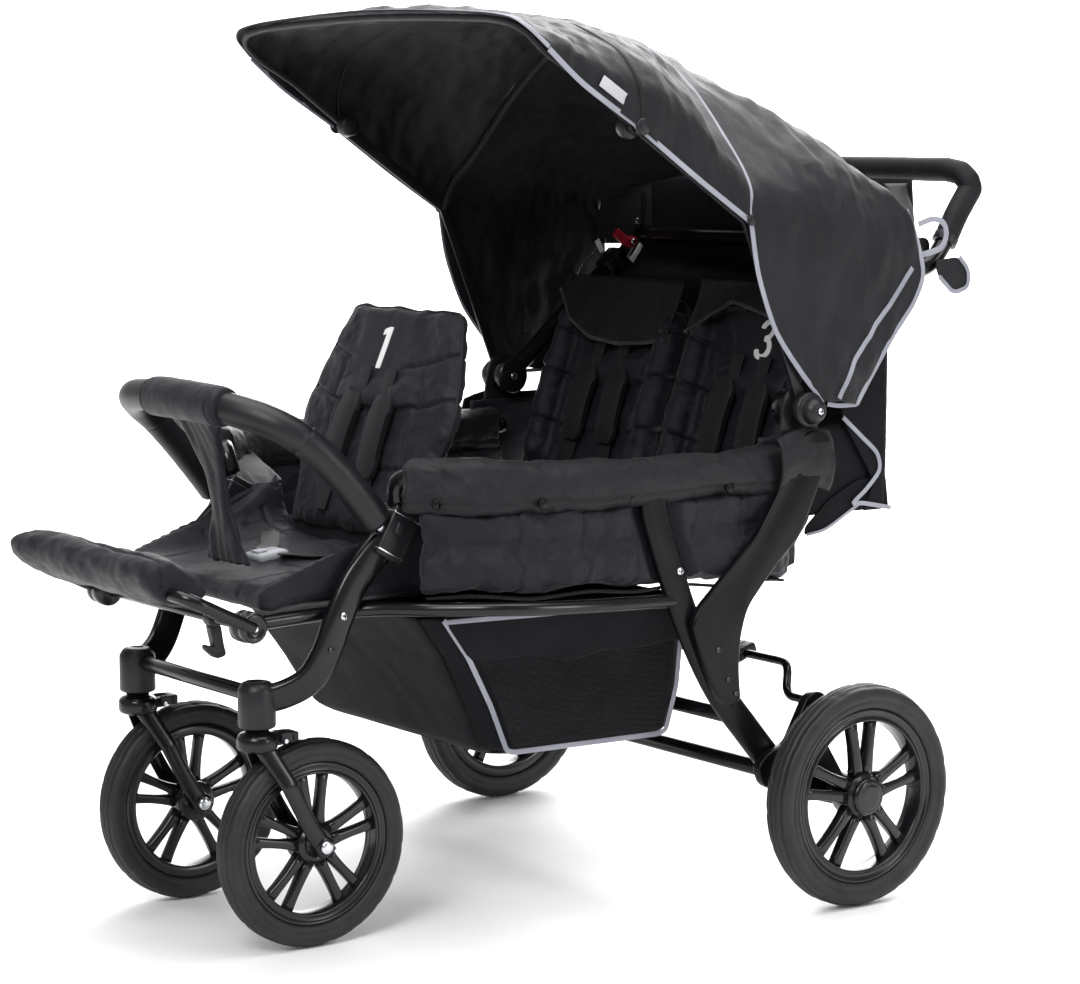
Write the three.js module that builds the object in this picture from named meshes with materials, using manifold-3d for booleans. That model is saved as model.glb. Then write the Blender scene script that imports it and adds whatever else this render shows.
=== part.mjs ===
// Multi seat daycare stroller: one front seat, two rear seats side by side, one hood over all.
// Units are millimetres, +Z is up, the stroller faces -Y and its left side is +X.
import * as THREE from 'three';
import { mergeVertices } from 'three/addons/utils/BufferGeometryUtils.js';
import Module from 'manifold-3d';

const wasm = await Module();
wasm.setup();

// Fits
const seat_gap = 0.35;
const turn_gap = 0.4;
const soft_gap = 0.5;
const flat_tolerance = 0.06;

// Rear wheels
const rear_wheel_x = 411.6;
const rear_wheel_radius = 150;
const rear_wheel_width = 44.5;
// Front wheels and their casters
const front_wheel_x = 154;
const front_wheel_y = -700;
const front_wheel_radius = 134;
const front_wheel_width = 40;
const caster_y = -778;
const housing_radius = 24;
const housing_low = 291;
const housing_high = 350;
const stem_radius = 8;
const stem_top = 338;
// Wheel proportions, as shares of the wheel radius or width
const tyre_bead_share = 0.79;
const rim_ring_share = 0.115;
const spoke_band_share = 0.42;
const hub_share = 0.2;
const spoke_count = 5;
const wheel_segments = 30;
const axle_radius = 6;

// Frame sections
const leg_long = 40;
const leg_thick = 19;
const front_leg_thick = 20;
const rail_radius = 12;
const seat_tube_radius = 9;
const cross_tube_radius = 10;
const handle_radius = 12.5;
const handle_foam_radius = 17;
const grab_core_radius = 9.5;
const grab_foam_radius = 21;
const hood_tube_radius = 5;

// Frame routes, left side, mirrored for the right
const front_leg_route = [[202, -617, 516], [202, -628, 507], [201, -661, 472], [200, -685, 427],
  [196, -702, 383], [187, -722, 350], [171, -748, 333], [156, -775, 326]];
const rail_route = [[324, -60, 590], [324, -300, 590], [322, -420, 593], [296, -520, 600],
  [248, -585, 604], [213, -603, 594], [203, -600, 566]];
const seat_tube_route = [[345.8, -255, 428], [345.8, -440, 436], [328, -525, 440], [270, -590, 438],
  [205, -636, 434], [181, -668, 431], [180, -742, 430], [178, -800, 427]];
const rear_leg_route = [[345.8, -304, 600], [345.8, -299, 549], [345.8, -272, 470], [345.8, -241, 395],
  [345.8, -190, 304], [345.8, -136, 239], [345.8, -84, 180]];
const upper_cross = [-158, 262];
const lower_cross = [-98, 183];
const front_cross = [-778, 332];

// Handle hinge stack, from the inside outwards
const hub_point = [-47, 665];
const handle_x = 323;
const hub_disc_radius = 26;
const hub_disc_thick = 24;
const bracket_inner = 336.3;
const bracket_thick = 5;
const hood_arm_inner = 345;
const hood_arm_thick = 5;
const hub_pin_radius = 6;
const knob_reach = 34;
const knob_radius = 24;
// Fixed side strut from the hinge down to the rear leg, side outline
const strut_inner = 355.8;
const strut_thick = 13;
const strut_outline = [[-72, 628], [-80, 600], [-142, 505], [-240, 418], [-251, 398], [-238, 362],
  [-216, 312], [-202, 290], [-184, 282], [-168, 290], [-172, 330], [-170, 372], [-158, 412], [-112, 462], [-68, 500],
  [-24, 590], [-14, 618], [-22, 634], [-47, 640]];
const bracket_outline = [[-78, 668], [-70, 692], [-47, 701], [-24, 692], [-14, 668], [-18, 610], [-30, 578],
  [-66, 576], [-84, 590], [-84, 620]];
const strut_bolt = [-46, 601];

// Handle loop side route and its cross bar
const handle_route = [[-47, 665], [40, 741], [120, 808], [165, 838], [200, 851], [222, 873], [250, 918],
  [275, 952]];
const handle_bar = [266, 978];
const handle_corner_x = 286;
const foam_start = 5.4;
const cross_bar = [193, 874];

// Grab bar route, left half, and its socket on the leg
const grab_slide = [0, -0.644, 0.765];
const grab_mouth = [202, -624, 540];
const grab_route = [[201, -651, 573], [198, -684, 611], [190, -722, 648], [170, -760, 674],
  [126, -790, 689], [62, -802, 695], [0, -805, 696]];
const cover_half = 78;
const peg_depth = 26;
const socket_centre = [202, -605, 528];
const socket_size = [34, 42, 68];
const socket_lean = 29.1;
const button_size = [3, 11, 16];

// Leg rest
const rest_pivot = [-808, 426];
const rest_disc_radius = 20;
const rest_disc_inner = 170;
const rest_disc_thick = 18;
const rest_frame_x = 198;
const rest_tube_radius = 8.5;
const rest_route = [[-808, 426], [-850, 446], [-886, 464]];
const lever_x = 100;

// Front seat
const seat1_half = 184;
const seat1_floor = 440;
const seat1_ys = [-530, -575, -630, -690, -745, -790];
const seat1_mid_tops = [489.5, 487, 481, 474, 469, 463];
const seat1_edge_tops = [574, 566, 533, 514, 494, 474];
const back1_pivot = [-546, 501];
const back1_height = 317;
const back1_lean = 20;
const back1_halves = [[0, 138], [0.2, 146], [0.38, 174], [0.56, 182], [0.78, 160], [0.93, 142], [1, 128]];
const back1_thick = 30;
const back_roll = 10.5;
// Rear seats
const bench_ys = [-10, -60, -150, -250, -330];
const bench_tops = [489.6, 488, 486, 482, 470];
const bench_floor = 444;
const bench_half = 322;
const back2_pivot = [-24, 501];
const back2_height = 303;
const back2_lean = 18;
const back2_x = 158;
const back2_halves = [[0, 146], [0.7, 146], [0.93, 140], [1, 126]];
const back2_half = 146;
const back2_thick = 32;
const column_depth = 34;

// Side fabric
const sleeve_low = 554;
const sleeve_high = 621;
const sleeve_half = 25;
const wall_low = 450;
const wall_half = 13;
const wall_puff = 9;
const wall_puffs = 7;

// Basket: rows of its outside from the floor up: height, front, rear, half width in front, half width behind
const basket_rows = [[224, -462, -192, 222, 236], [236, -474, -186, 230, 244], [300, -510, -196, 246, 266],
  [370, -556, -210, 262, 292], [426, -604, -222, 276, 322]];
const basket_skin = 6;
const basket_corner = 24;

// Hood lines: [x, y, z] from the side to the middle, mirrored for the other side
const hood_skin = 4;
const front_line = [[351, -506, 1160], [330, -508, 1171], [272, -509, 1178], [200, -510, 1182],
  [100, -510, 1186], [0, -510, 1188]];
const visor_line = [[353, -418, 1090], [345, -425, 1132], [302, -428, 1158], [215, -430, 1177],
  [110, -430, 1186], [0, -430, 1191]];
const knob_line = [[355, -328, 1034], [350, -330, 1090], [314, -334, 1132], [228, -337, 1166],
  [118, -338, 1183], [0, -338, 1190]];
const mid_line = [[356, -238, 972], [345, -232, 1040], [306, -228, 1086], [216, -226, 1140],
  [110, -232, 1172], [0, -240, 1183]];
const arch_line = [[356, -149, 916], [343, -140, 957], [304, -130, 996], [204, -126, 1088],
  [102, -132, 1149], [0, -150, 1167]];
const arch_long_line = [[356, -22, 676], [357, -60, 714], [357, -106, 772], [357, -136, 845], [356, -148.4, 916],
  [343, -139.4, 957], [304, -129.4, 996], [204, -125.4, 1088], [102, -131.4, 1149], [0, -149.4, 1167]];
const crest_line = [[356, -4, 674], [358, -4, 716], [358, -14, 772], [359, -6, 845], [357, 6, 912],
  [341, 6, 960], [304, 4, 1001], [204, 12, 1058], [102, 18, 1086], [0, 20, 1095]];
const fall_line = [[356, 6, 674], [358, 34, 714], [358, 62, 762], [358, 84, 828], [356, 96, 880],
  [341, 98, 936], [312, 94, 968], [204, 108, 1006], [102, 116, 1019], [0, 118, 1023]];
const rear_line = [[356, 16, 674], [357, 62, 712], [357, 110, 752], [357, 158, 796], [356, 196, 836],
  [347, 208, 892], [322, 186, 946], [204, 192, 966], [102, 202, 966], [0, 205, 966]];
// Rear curtain, from the top down: height, half width, front edge of its wings, back
const curtain_rows = [[958, 300, 199, 212], [880, 302, 206.8, 222], [828, 302, 200, 215], [798, 340.5, 158, 205],
  [750, 340.5, 104, 197], [700, 340.5, 48, 187], [655, 340.5, 30, 177], [600, 340, 54, 163], [548, 339, 76, 149],
  [518, 338, 84, 141]];
const curtain_skin = 3;
const knob_pivot = [-328, 1038];
const rivet_point = [-149, 918];

const deg = Math.PI / 180;

// Manifold from a three.js geometry, turned outward if it came inside out
function solid(geometry) {
  geometry.deleteAttribute('normal');
  geometry.deleteAttribute('uv');
  const merged = mergeVertices(geometry.index ? geometry : geometry, 1e-4);
  const pos = merged.attributes.position;
  const index = merged.index.array;
  let volume = 0;
  const a = new THREE.Vector3(), b = new THREE.Vector3(), c = new THREE.Vector3();
  const faces = [];
  for (let i = 0; i < index.length; i += 3) {
    if (index[i] === index[i + 1] || index[i + 1] === index[i + 2] || index[i] === index[i + 2]) continue;
    faces.push(index[i], index[i + 1], index[i + 2]);
    a.fromBufferAttribute(pos, index[i]);
    b.fromBufferAttribute(pos, index[i + 1]);
    c.fromBufferAttribute(pos, index[i + 2]);
    volume += a.dot(b.cross(c));
  }
  if (volume < 0) {
    for (let i = 0; i < faces.length; i += 3) [faces[i], faces[i + 1]] = [faces[i + 1], faces[i]];
  }
  return new wasm.Manifold(new wasm.Mesh({
    numProp: 3, vertProperties: Float32Array.from(pos.array), triVerts: Uint32Array.from(faces),
  }));
}

// A curve that passes straight from point to point, so that each point is one ring of the sweep
class Route extends THREE.Curve {
  constructor(points) {
    super();
    this.points = points.map((p) => new THREE.Vector3(...p));
  }
  getPoint(t, target = new THREE.Vector3()) {
    const place = t * (this.points.length - 1);
    const i = Math.min(Math.floor(place), this.points.length - 2);
    return target.lerpVectors(this.points[i], this.points[i + 1], place - i);
  }
  getPointAt(u, target) { return this.getPoint(u, target); }
  getSpacedPoints() { return this.points; }
  getTangentAt(u, target = new THREE.Vector3()) {
    const last = this.points.length - 1;
    const i = Math.round(u * last);
    const before = this.points[Math.max(i - 1, 0)], after = this.points[Math.min(i + 1, last)];
    const back = this.points[i].clone().sub(before).normalize();
    const on = after.clone().sub(this.points[i]).normalize();
    return target.copy(back.add(on)).normalize();
  }
  getTangent(t, target) { return this.getTangentAt(t, target); }
}

// Section outlines
function oval(half_wide, half_high, sides, power = 1) {
  const points = [];
  for (let i = 0; i < sides; i += 1) {
    const t = (i + 0.5) / sides * 2 * Math.PI;
    const c = Math.cos(t), s = Math.sin(t);
    points.push(new THREE.Vector2(half_wide * Math.sign(c) * Math.abs(c) ** power,
      half_high * Math.sign(s) * Math.abs(s) ** power));
  }
  return new THREE.Shape(points);
}

function sweep(points, shape) {
  return solid(new THREE.ExtrudeGeometry(shape, {
    steps: points.length - 1, extrudePath: new Route(points), bevelEnabled: false,
  }));
}

const tube = (points, radius, sides = 9) => sweep(points, oval(radius, radius, sides));
const legTube = (points, thick, long, grow = 0) => sweep(points, oval(thick / 2 + grow, long / 2 + grow, 12, 0.75));

// A smooth route through a few points
function smooth(points, count) {
  const curve = new THREE.CatmullRomCurve3(points.map((p) => new THREE.Vector3(...p)), false, 'centripetal');
  return curve.getSpacedPoints(count).map((p) => [p.x, p.y, p.z]);
}

// Left half of a route followed by its mirror image
const mirrorRoute = (points) => {
  const other = points.slice().reverse().map(([x, y, z]) => [-x, y, z]);
  return points.concat(points[points.length - 1][0] === 0 ? other.slice(1) : other);
};

// A flat plate with an outline in side view, between two distances from the middle
function sidePlate(outline, inner, thick, bevel = 0) {
  const shape = new THREE.Shape(outline.map(([y, z]) => new THREE.Vector2(y, z)));
  const geometry = new THREE.ExtrudeGeometry(shape, {
    depth: thick - 2 * bevel, bevelEnabled: bevel > 0, bevelThickness: bevel, bevelSize: bevel,
    bevelOffset: -bevel, bevelSegments: 1, steps: 1,
  });
  geometry.applyMatrix4(new THREE.Matrix4().set(0, 0, 1, inner + bevel, 1, 0, 0, 0, 0, 1, 0, 0, 0, 0, 0, 1));
  return solid(geometry);
}

// Round bar along X, along Z, or between any two points
function rod(from, to, radius, sides = 20, end_radius = radius) {
  const a = new THREE.Vector3(...from), b = new THREE.Vector3(...to);
  const span = b.clone().sub(a);
  const geometry = new THREE.CylinderGeometry(end_radius, radius, span.length(), sides, 1);
  const turn = new THREE.Quaternion().setFromUnitVectors(new THREE.Vector3(0, 1, 0), span.clone().normalize());
  geometry.applyQuaternion(turn);
  const mid = a.add(b).multiplyScalar(0.5);
  geometry.translate(mid.x, mid.y, mid.z);
  return solid(geometry);
}

function turned(profile, segments = 36) {
  return solid(new THREE.LatheGeometry(profile.map(([r, h]) => new THREE.Vector2(r, h)), segments));
}

function block(size, centre, lean = 0, bevel = 0) {
  const [wide, deep, high] = size;
  const shape = new THREE.Shape([[-1, -1], [1, -1], [1, 1], [-1, 1]].map(
    ([u, v]) => new THREE.Vector2(u * (wide / 2 - bevel), v * (deep / 2 - bevel))));
  const geometry = new THREE.ExtrudeGeometry(shape, {
    depth: high - 2 * bevel, bevelEnabled: bevel > 0, bevelThickness: bevel, bevelSize: bevel,
    bevelSegments: 1, steps: 1,
  });
  geometry.translate(0, 0, bevel - high / 2);
  geometry.rotateX(lean * deg);
  geometry.translate(...centre);
  return solid(geometry);
}

// Closed solid from equal rings of points, capped at both ends
function loft(rings) {
  const count = rings[0].length;
  const position = [];
  const index = [];
  for (const ring of rings) for (const p of ring) position.push(...p);
  for (let r = 0; r < rings.length - 1; r += 1) {
    for (let i = 0; i < count; i += 1) {
      const j = (i + 1) % count;
      const a = r * count + i, b = r * count + j, c = a + count, d = b + count;
      index.push(a, b, d, a, d, c);
    }
  }
  for (const r of [0, rings.length - 1]) {
    const middle = rings[r].reduce((sum, p) => sum.map((v, k) => v + p[k] / count), [0, 0, 0]);
    const hub = position.length / 3;
    position.push(...middle);
    for (let i = 0; i < count; i += 1) {
      const a = r * count + i, b = r * count + (i + 1) % count;
      if (r === 0) index.push(hub, b, a); else index.push(hub, a, b);
    }
  }
  const geometry = new THREE.BufferGeometry();
  geometry.setAttribute('position', new THREE.Float32BufferAttribute(position, 3));
  geometry.setIndex(index);
  return solid(geometry);
}

// A sheet of even thickness from rows of points, its underside pushed along the inward normals
function sheet(rows, skin) {
  const high = rows.length, wide = rows[0].length;
  const at = (r, c) => new THREE.Vector3(...rows[Math.min(Math.max(r, 0), high - 1)][
    Math.min(Math.max(c, 0), wide - 1)]);
  const position = [];
  const under = [];
  for (let r = 0; r < high; r += 1) {
    for (let c = 0; c < wide; c += 1) {
      const along = at(r, c + 1).sub(at(r, c - 1));
      const down = at(r + 1, c).sub(at(r - 1, c));
      const normal = along.cross(down).normalize();
      const p = at(r, c);
      position.push(p.x, p.y, p.z);
      under.push(p.x - normal.x * skin, p.y - normal.y * skin, p.z - normal.z * skin);
    }
  }
  const shift = high * wide;
  position.push(...under);
  const index = [];
  const quad = (a, b, c, d) => index.push(a, b, c, a, c, d);
  for (let r = 0; r < high - 1; r += 1) {
    for (let c = 0; c < wide - 1; c += 1) {
      const a = r * wide + c, b = a + 1, d = a + wide, e = d + 1;
      quad(a, d, e, b);
      quad(shift + a, shift + b, shift + e, shift + d);
    }
  }
  for (let c = 0; c < wide - 1; c += 1) {
    const last = (high - 1) * wide;
    quad(c, c + 1, shift + c + 1, shift + c);
    quad(last + c + 1, last + c, shift + last + c, shift + last + c + 1);
  }
  for (let r = 0; r < high - 1; r += 1) {
    const a = r * wide, b = a + wide;
    quad(b, a, shift + a, shift + b);
    quad(a + wide - 1, b + wide - 1, shift + b + wide - 1, shift + a + wide - 1);
  }
  const geometry = new THREE.BufferGeometry();
  geometry.setAttribute('position', new THREE.Float32BufferAttribute(position, 3));
  geometry.setIndex(index);
  return solid(geometry);
}

const mirror = (body) => body.mirror([1, 0, 0]);
const both = (list) => list.concat(list.map(mirror));
const joinAll = (list) => list.reduce((sum, next) => sum.add(next));
const cutAll = (body, list) => list.reduce((sum, next) => sum.subtract(next), body);
// The main piece of a soft part after its seats are cut, without the slivers beyond them
const mainPiece = (body) => body.decompose().sort((a, b) => b.volume() - a.volume())[0];

const parts = [];
const looks = {
  steel: [0x111114, 0.25, 0.4], black: [0x15151a, 0.4, 0], silver: [0xb8bcc2, 0.3, 1],
  rubber: [0x1b1b1f, 0.8, 0], foam: [0x18181b, 0.9, 0], fabric: [0x24252c, 0.95, 0],
  lining: [0x1b1b20, 0.95, 0], red: [0xa11522, 0.4, 0],
};
function add(name, body, look) {
  const lean = body.asOriginal().simplify(flat_tolerance);
  const data = (look === 'fabric' ? mainPiece(lean) : lean).getMesh();
  const geometry = new THREE.BufferGeometry();
  geometry.setAttribute('position', new THREE.Float32BufferAttribute(data.vertProperties, 3));
  geometry.setIndex(new THREE.Uint32BufferAttribute(data.triVerts, 1));
  geometry.computeVertexNormals();
  const [color, roughness, metalness] = looks[look];
  const mesh = new THREE.Mesh(geometry, new THREE.MeshStandardMaterial({ color, roughness, metalness }));
  mesh.name = name;
  parts.push(mesh);
}
function addPair(name, body, look) {
  add(`${name}_left`, body, look);
  add(`${name}_right`, mirror(body), look);
}

// Caster housings: rounded cap with a chamfered top, bored for the fork stem
function housing(grow) {
  const r = housing_radius + grow;
  return turned([[0, housing_low - grow], [r - 3, housing_low - grow], [r, housing_low + 4],
    [r, housing_high - 9], [r - 6, housing_high + grow], [0, housing_high + grow]], 18)
    .rotate([90, 0, 0]).translate([front_wheel_x, caster_y, 0]);
}
const housing_bore = rod([front_wheel_x, caster_y, housing_low - 5],
  [front_wheel_x, caster_y, stem_top + turn_gap], stem_radius + turn_gap + 0.2, 18);
addPair('caster_housing', housing(0).subtract(housing_bore), 'black');
const housing_room = housing(seat_gap);

// Socket on top of the front leg, holding the grab bar peg
const mouth = new THREE.Vector3(...grab_mouth);
const slide_axis = new THREE.Vector3(...grab_slide).normalize();
const onPeg = (distance) => mouth.clone().addScaledVector(slide_axis, distance).toArray();
const socket = (grow) => block(socket_size.map((s) => s + 2 * grow), socket_centre, -socket_lean, 2);
const peg_bore = rod(onPeg(30), onPeg(-peg_depth - turn_gap), grab_core_radius + turn_gap, 16);
const front_leg = legTube(front_leg_route, front_leg_thick, leg_long).subtract(housing_room);
const front_leg_room = legTube(front_leg_route, front_leg_thick, leg_long, soft_gap);
const button_centre = [socket_centre[0] + socket_size[0] / 2, socket_centre[1] - 2, socket_centre[2] + 8];
const button_hole = block([button_size[0] * 2 + 8, button_size[1] + 2 * turn_gap, button_size[2] + 2 * turn_gap],
  [button_centre[0], button_centre[1], button_centre[2]], -socket_lean);
addPair('front_leg', front_leg, 'steel');
addPair('grab_socket', cutAll(socket(0), [front_leg_room, peg_bore, button_hole]), 'black');
addPair('grab_release', block([button_size[0] + 5, button_size[1], button_size[2]],
  [button_centre[0] + 0.6, button_centre[1], button_centre[2]], -socket_lean), 'black');

// Tube between the caster housings
add('front_cross_tube', cutAll(rod([-front_wheel_x, ...front_cross], [front_wheel_x, ...front_cross],
  cross_tube_radius, 16), [housing_room, mirror(housing_room), front_leg_room, mirror(front_leg_room)]), 'steel');

// Side rails, seat tubes, rear legs and their cross tubes
const rail_path = smooth(rail_route, 12);
const rail_room = tube(rail_path, rail_radius + seat_gap);
const rear_leg = legTube(smooth(rear_leg_route, 6), leg_thick, leg_long);
const rear_leg_room = legTube(smooth(rear_leg_route, 6), leg_thick, leg_long, seat_gap);
const seat_tube_path = smooth(seat_tube_route, 11);
const seat_tube_room = tube(seat_tube_path, seat_tube_radius + seat_gap, 8);
const rest_disc = rod([rest_disc_inner, ...rest_pivot], [rest_disc_inner + rest_disc_thick, ...rest_pivot],
  rest_disc_radius, 20);
addPair('side_rail', tube(rail_path, rail_radius).subtract(socket(seat_gap)), 'steel');
const pivot_bar_radius = 6;
const seat_tube = tube(seat_tube_path, seat_tube_radius, 8).subtract(rear_leg_room)
  .subtract(front_leg_room).add(rest_disc);
add('seat_tube_frame', joinAll([seat_tube, mirror(seat_tube), rod([-rest_disc_inner - 2, ...rest_pivot],
  [rest_disc_inner + 2, ...rest_pivot], pivot_bar_radius, 14)]), 'steel');
for (const [name, [y, z], radius] of [['rear_cross_tube_upper', upper_cross, cross_tube_radius],
  ['rear_cross_tube_lower', lower_cross, cross_tube_radius + 1]]) {
  const bar = rod([-345, y, z], [345, y, z], radius, 16);
  add(name, cutAll(bar, [rear_leg_room, mirror(rear_leg_room)]), 'steel');
}

// Hinge bracket with the hub pin, and the domed knob outside it
const pin_inner = handle_x - hub_disc_thick / 2 - 3;
const hub_pin = rod([pin_inner, ...hub_point], [hood_arm_inner + hood_arm_thick + 2, ...hub_point],
  hub_pin_radius, 16);
const knob_inner = hood_arm_inner + hood_arm_thick + turn_gap;
const hub_knob = turned([[0, 0], [knob_radius - 2, 0], [knob_radius, 3], [knob_radius, 10],
  [knob_radius - 3, 13], [knob_radius - 6, 13], [knob_radius - 7, 22], [9, knob_reach - 1],
  [0, knob_reach]], 18).rotate([0, 0, -90]).translate([knob_inner, ...hub_point]);
addPair('hinge_bracket', joinAll([sidePlate(bracket_outline, bracket_inner, bracket_thick, 1), hub_pin,
  hub_knob]), 'black');
const strut_boss = rod([bracket_inner + bracket_thick + seat_gap, ...strut_bolt],
  [strut_inner + 2, ...strut_bolt], 12, 16);
addPair('side_strut', sidePlate(strut_outline, strut_inner, strut_thick, 2).add(strut_boss), 'steel');
const bracket_room = sidePlate(bracket_outline, bracket_inner - seat_gap, bracket_thick + 2 * seat_gap)
  .add(rod([bracket_inner, ...strut_bolt], [strut_inner + 2, ...strut_bolt], 12 + seat_gap, 16));
const strut_room = sidePlate(strut_outline, strut_inner - soft_gap, strut_thick + 2 * soft_gap);

// Axle bracket behind each rear wheel, with its stub axle and the brake bar bearing
const axle_outline = [[-138, 196], [-118, 214], [-86, 222], [-52, 282], [-35, 288], [-20, 282], [-18, 264],
  [-30, 236], [16, 164], [16, 136], [0, 128], [-96, 156], [-128, 170]];
const brake_axis = [-35, 272];
const axle_bracket = sidePlate(axle_outline, 353, 15, 1.5)
  .add(rod([366, 0, rear_wheel_radius], [rear_wheel_x - rear_wheel_width / 2 - 3, 0, rear_wheel_radius], 16, 20))
  .add(rod([366, 0, rear_wheel_radius], [rear_wheel_x + rear_wheel_width / 2 * 0.6, 0, rear_wheel_radius],
    axle_radius, 12))
  .subtract(rod([350, ...brake_axis], [380, ...brake_axis], 6 + turn_gap, 16));
addPair('rear_leg', rear_leg.add(axle_bracket), 'steel');

// Wheels: tyre, spoked rim and, at the rear, the big cap
function tyre(radius, width) {
  const bead = radius * tyre_bead_share;
  const half = width / 2;
  const profile = [[bead, -half * 0.75], [radius * 0.9, -half], [radius * 0.965, -half * 0.84],
    [radius, -half * 0.4], [radius, half * 0.4], [radius * 0.965, half * 0.84], [radius * 0.9, half],
    [bead, half * 0.75], [bead, -half * 0.75]];
  return turned(profile, wheel_segments);
}
function spokedRim(radius, width, bore) {
  const bead = radius * tyre_bead_share - seat_gap;
  const ring_low = bead - radius * rim_ring_share;
  const hub = radius * hub_share;
  const half = width / 2;
  const ring = turned([[ring_low, -half * 0.7], [bead, -half * 0.7], [bead, half * 0.7], [ring_low, half * 0.7],
    [ring_low, -half * 0.7]], wheel_segments);
  const pieces = [ring];
  for (let i = 0; i < spoke_count; i += 1) {
    const turn = i / spoke_count * 360;
    for (const side of [-1, 1]) {
      const split = side * spoke_band_share * hub;
      const spoke = loft([hub - 3, ring_low + 2].map((r, k) => {
        const off = split * [0.6, 1.35][k], wide = radius * [0.04, 0.044][k];
        const lift = half * [0.6, 0.42][k], drop = -half * [0.25, 0.2][k];
        return [[off - wide, drop, r], [off + wide, drop, r], [off + wide * 0.6, lift, r],
          [off - wide * 0.6, lift, r]];
      }));
      pieces.push(spoke.rotate([0, turn, 0]));
    }
  }
  pieces.push(turned([[0, -half * 0.95], [hub, -half * 0.95], [hub, half * 0.55], [hub * 0.82, half * 0.8],
    [0, half * 0.8]], 15));
  return joinAll(pieces).subtract(rod([0, -width, 0], [0, width, 0], bore, 10));
}
const onAxle = (body, x, y, z, outward) => body.rotate([0, 0, outward > 0 ? -90 : 90]).translate([x, y, z]);
const rear_tyre = tyre(rear_wheel_radius, rear_wheel_width);
const rear_rim = spokedRim(rear_wheel_radius, rear_wheel_width, axle_radius + turn_gap);
const cap_start = rear_wheel_width / 2 * 0.8 - 1;
const cap_radius = rear_wheel_radius * 0.17;
const rear_cap = turned([[0, cap_start], [cap_radius, cap_start], [cap_radius, cap_start + 5],
  [cap_radius - 4, cap_start + 9], [0, cap_start + 9]], 18);
addPair('rear_tyre', onAxle(rear_tyre, rear_wheel_x, 0, rear_wheel_radius, 1), 'rubber');
addPair('rear_rim', onAxle(rear_rim.add(rear_cap), rear_wheel_x, 0, rear_wheel_radius, 1), 'black');
const front_tyre = tyre(front_wheel_radius, front_wheel_width);
const front_rim = spokedRim(front_wheel_radius, front_wheel_width, axle_radius + turn_gap);
addPair('front_tyre', onAxle(front_tyre, front_wheel_x, front_wheel_y, front_wheel_radius, 1), 'rubber');
addPair('front_rim', onAxle(front_rim, front_wheel_x, front_wheel_y, front_wheel_radius, 1), 'black');

// Caster forks: stem, crown, neck and two curved blades round the wheel
const blade_x = 31;
const blade_route = [[0, -776, 268], [0, -768, 252], [0, -752, 222], [0, -730, 180], [0, -712, 150],
  [0, -700, 134], [0, -694, 124]];
const blades = [-1, 1].map((side) => sweep(smooth(blade_route, 6).map(([, y, z], i) => [
  front_wheel_x + side * Math.min(16 + i * 8, blade_x), y, z]), oval(5, 13, 8, 0.8)));
const stem = rod([front_wheel_x, caster_y, 262], [front_wheel_x, caster_y, stem_top], stem_radius, 10);
const crown = turned([[0, 262], [23, 262], [26, 266], [26, 278], [22, 284], [15, 286], [15, housing_low - turn_gap],
  [0, housing_low - turn_gap]], 16).rotate([90, 0, 0]).translate([front_wheel_x, caster_y, 0]);
const lock_seat = block([16, 20, 14], [front_wheel_x, caster_y + 28, 273], 0, 1.5);
const lock_pin_hole = rod([front_wheel_x - 20, caster_y + 32, 273], [front_wheel_x + 20, caster_y + 32, 273],
  3 + turn_gap, 12);
const wheel_room = rod([front_wheel_x - front_wheel_width / 2 - 3, front_wheel_y, front_wheel_radius],
  [front_wheel_x + front_wheel_width / 2 + 3, front_wheel_y, front_wheel_radius], front_wheel_radius + 4, 32);
const axle_reach = blade_x + 8.5;
const bolt = rod([front_wheel_x - axle_reach, front_wheel_y, front_wheel_radius],
  [front_wheel_x + axle_reach, front_wheel_y, front_wheel_radius], axle_radius, 8);
const head = (side) => rod([front_wheel_x + side * (blade_x + 4), front_wheel_y, front_wheel_radius],
  [front_wheel_x + side * (axle_reach + 3), front_wheel_y, front_wheel_radius], 9, 10, 7);
addPair('caster_fork', joinAll([cutAll(joinAll([...blades, stem, crown, lock_seat]), [wheel_room, lock_pin_hole]),
  bolt, head(1), head(-1)]), 'steel');

// Swivel lock: a small rocker behind each fork crown
const rocker = joinAll([rod([front_wheel_x - 19, caster_y + 32, 273], [front_wheel_x + 19, caster_y + 32, 273], 3, 12),
  block([5, 20, 13], [front_wheel_x + 11, caster_y + 38, 276], 0, 1),
  block([5, 20, 13], [front_wheel_x - 11, caster_y + 38, 276], 0, 1),
  block([27, 12, 13], [front_wheel_x, caster_y + 48, 276], 0, 1)]);
const crown_room = rod([front_wheel_x, caster_y, 255], [front_wheel_x, caster_y, housing_low], 26 + turn_gap, 24);
addPair('caster_lock', cutAll(rocker, [wheel_room, crown_room]), 'black');

// Brake bar with its foot pad
const brake_route = [[362, ...brake_axis], [312, ...brake_axis], [302, -33, 280], [294, -24, 304],
  [284, -19, 312], [270, -18, 313], [0, -18, 313]];
const brake_bar = tube(mirrorRoute(brake_route), 6, 8);
const brake_room = tube(mirrorRoute(brake_route), 6 + seat_gap, 8);
add('brake_bar', brake_bar, 'steel');
add('brake_pedal', block([400, 36, 17], [0, -16, 314], 20, 4).subtract(brake_room), 'black');

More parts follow.
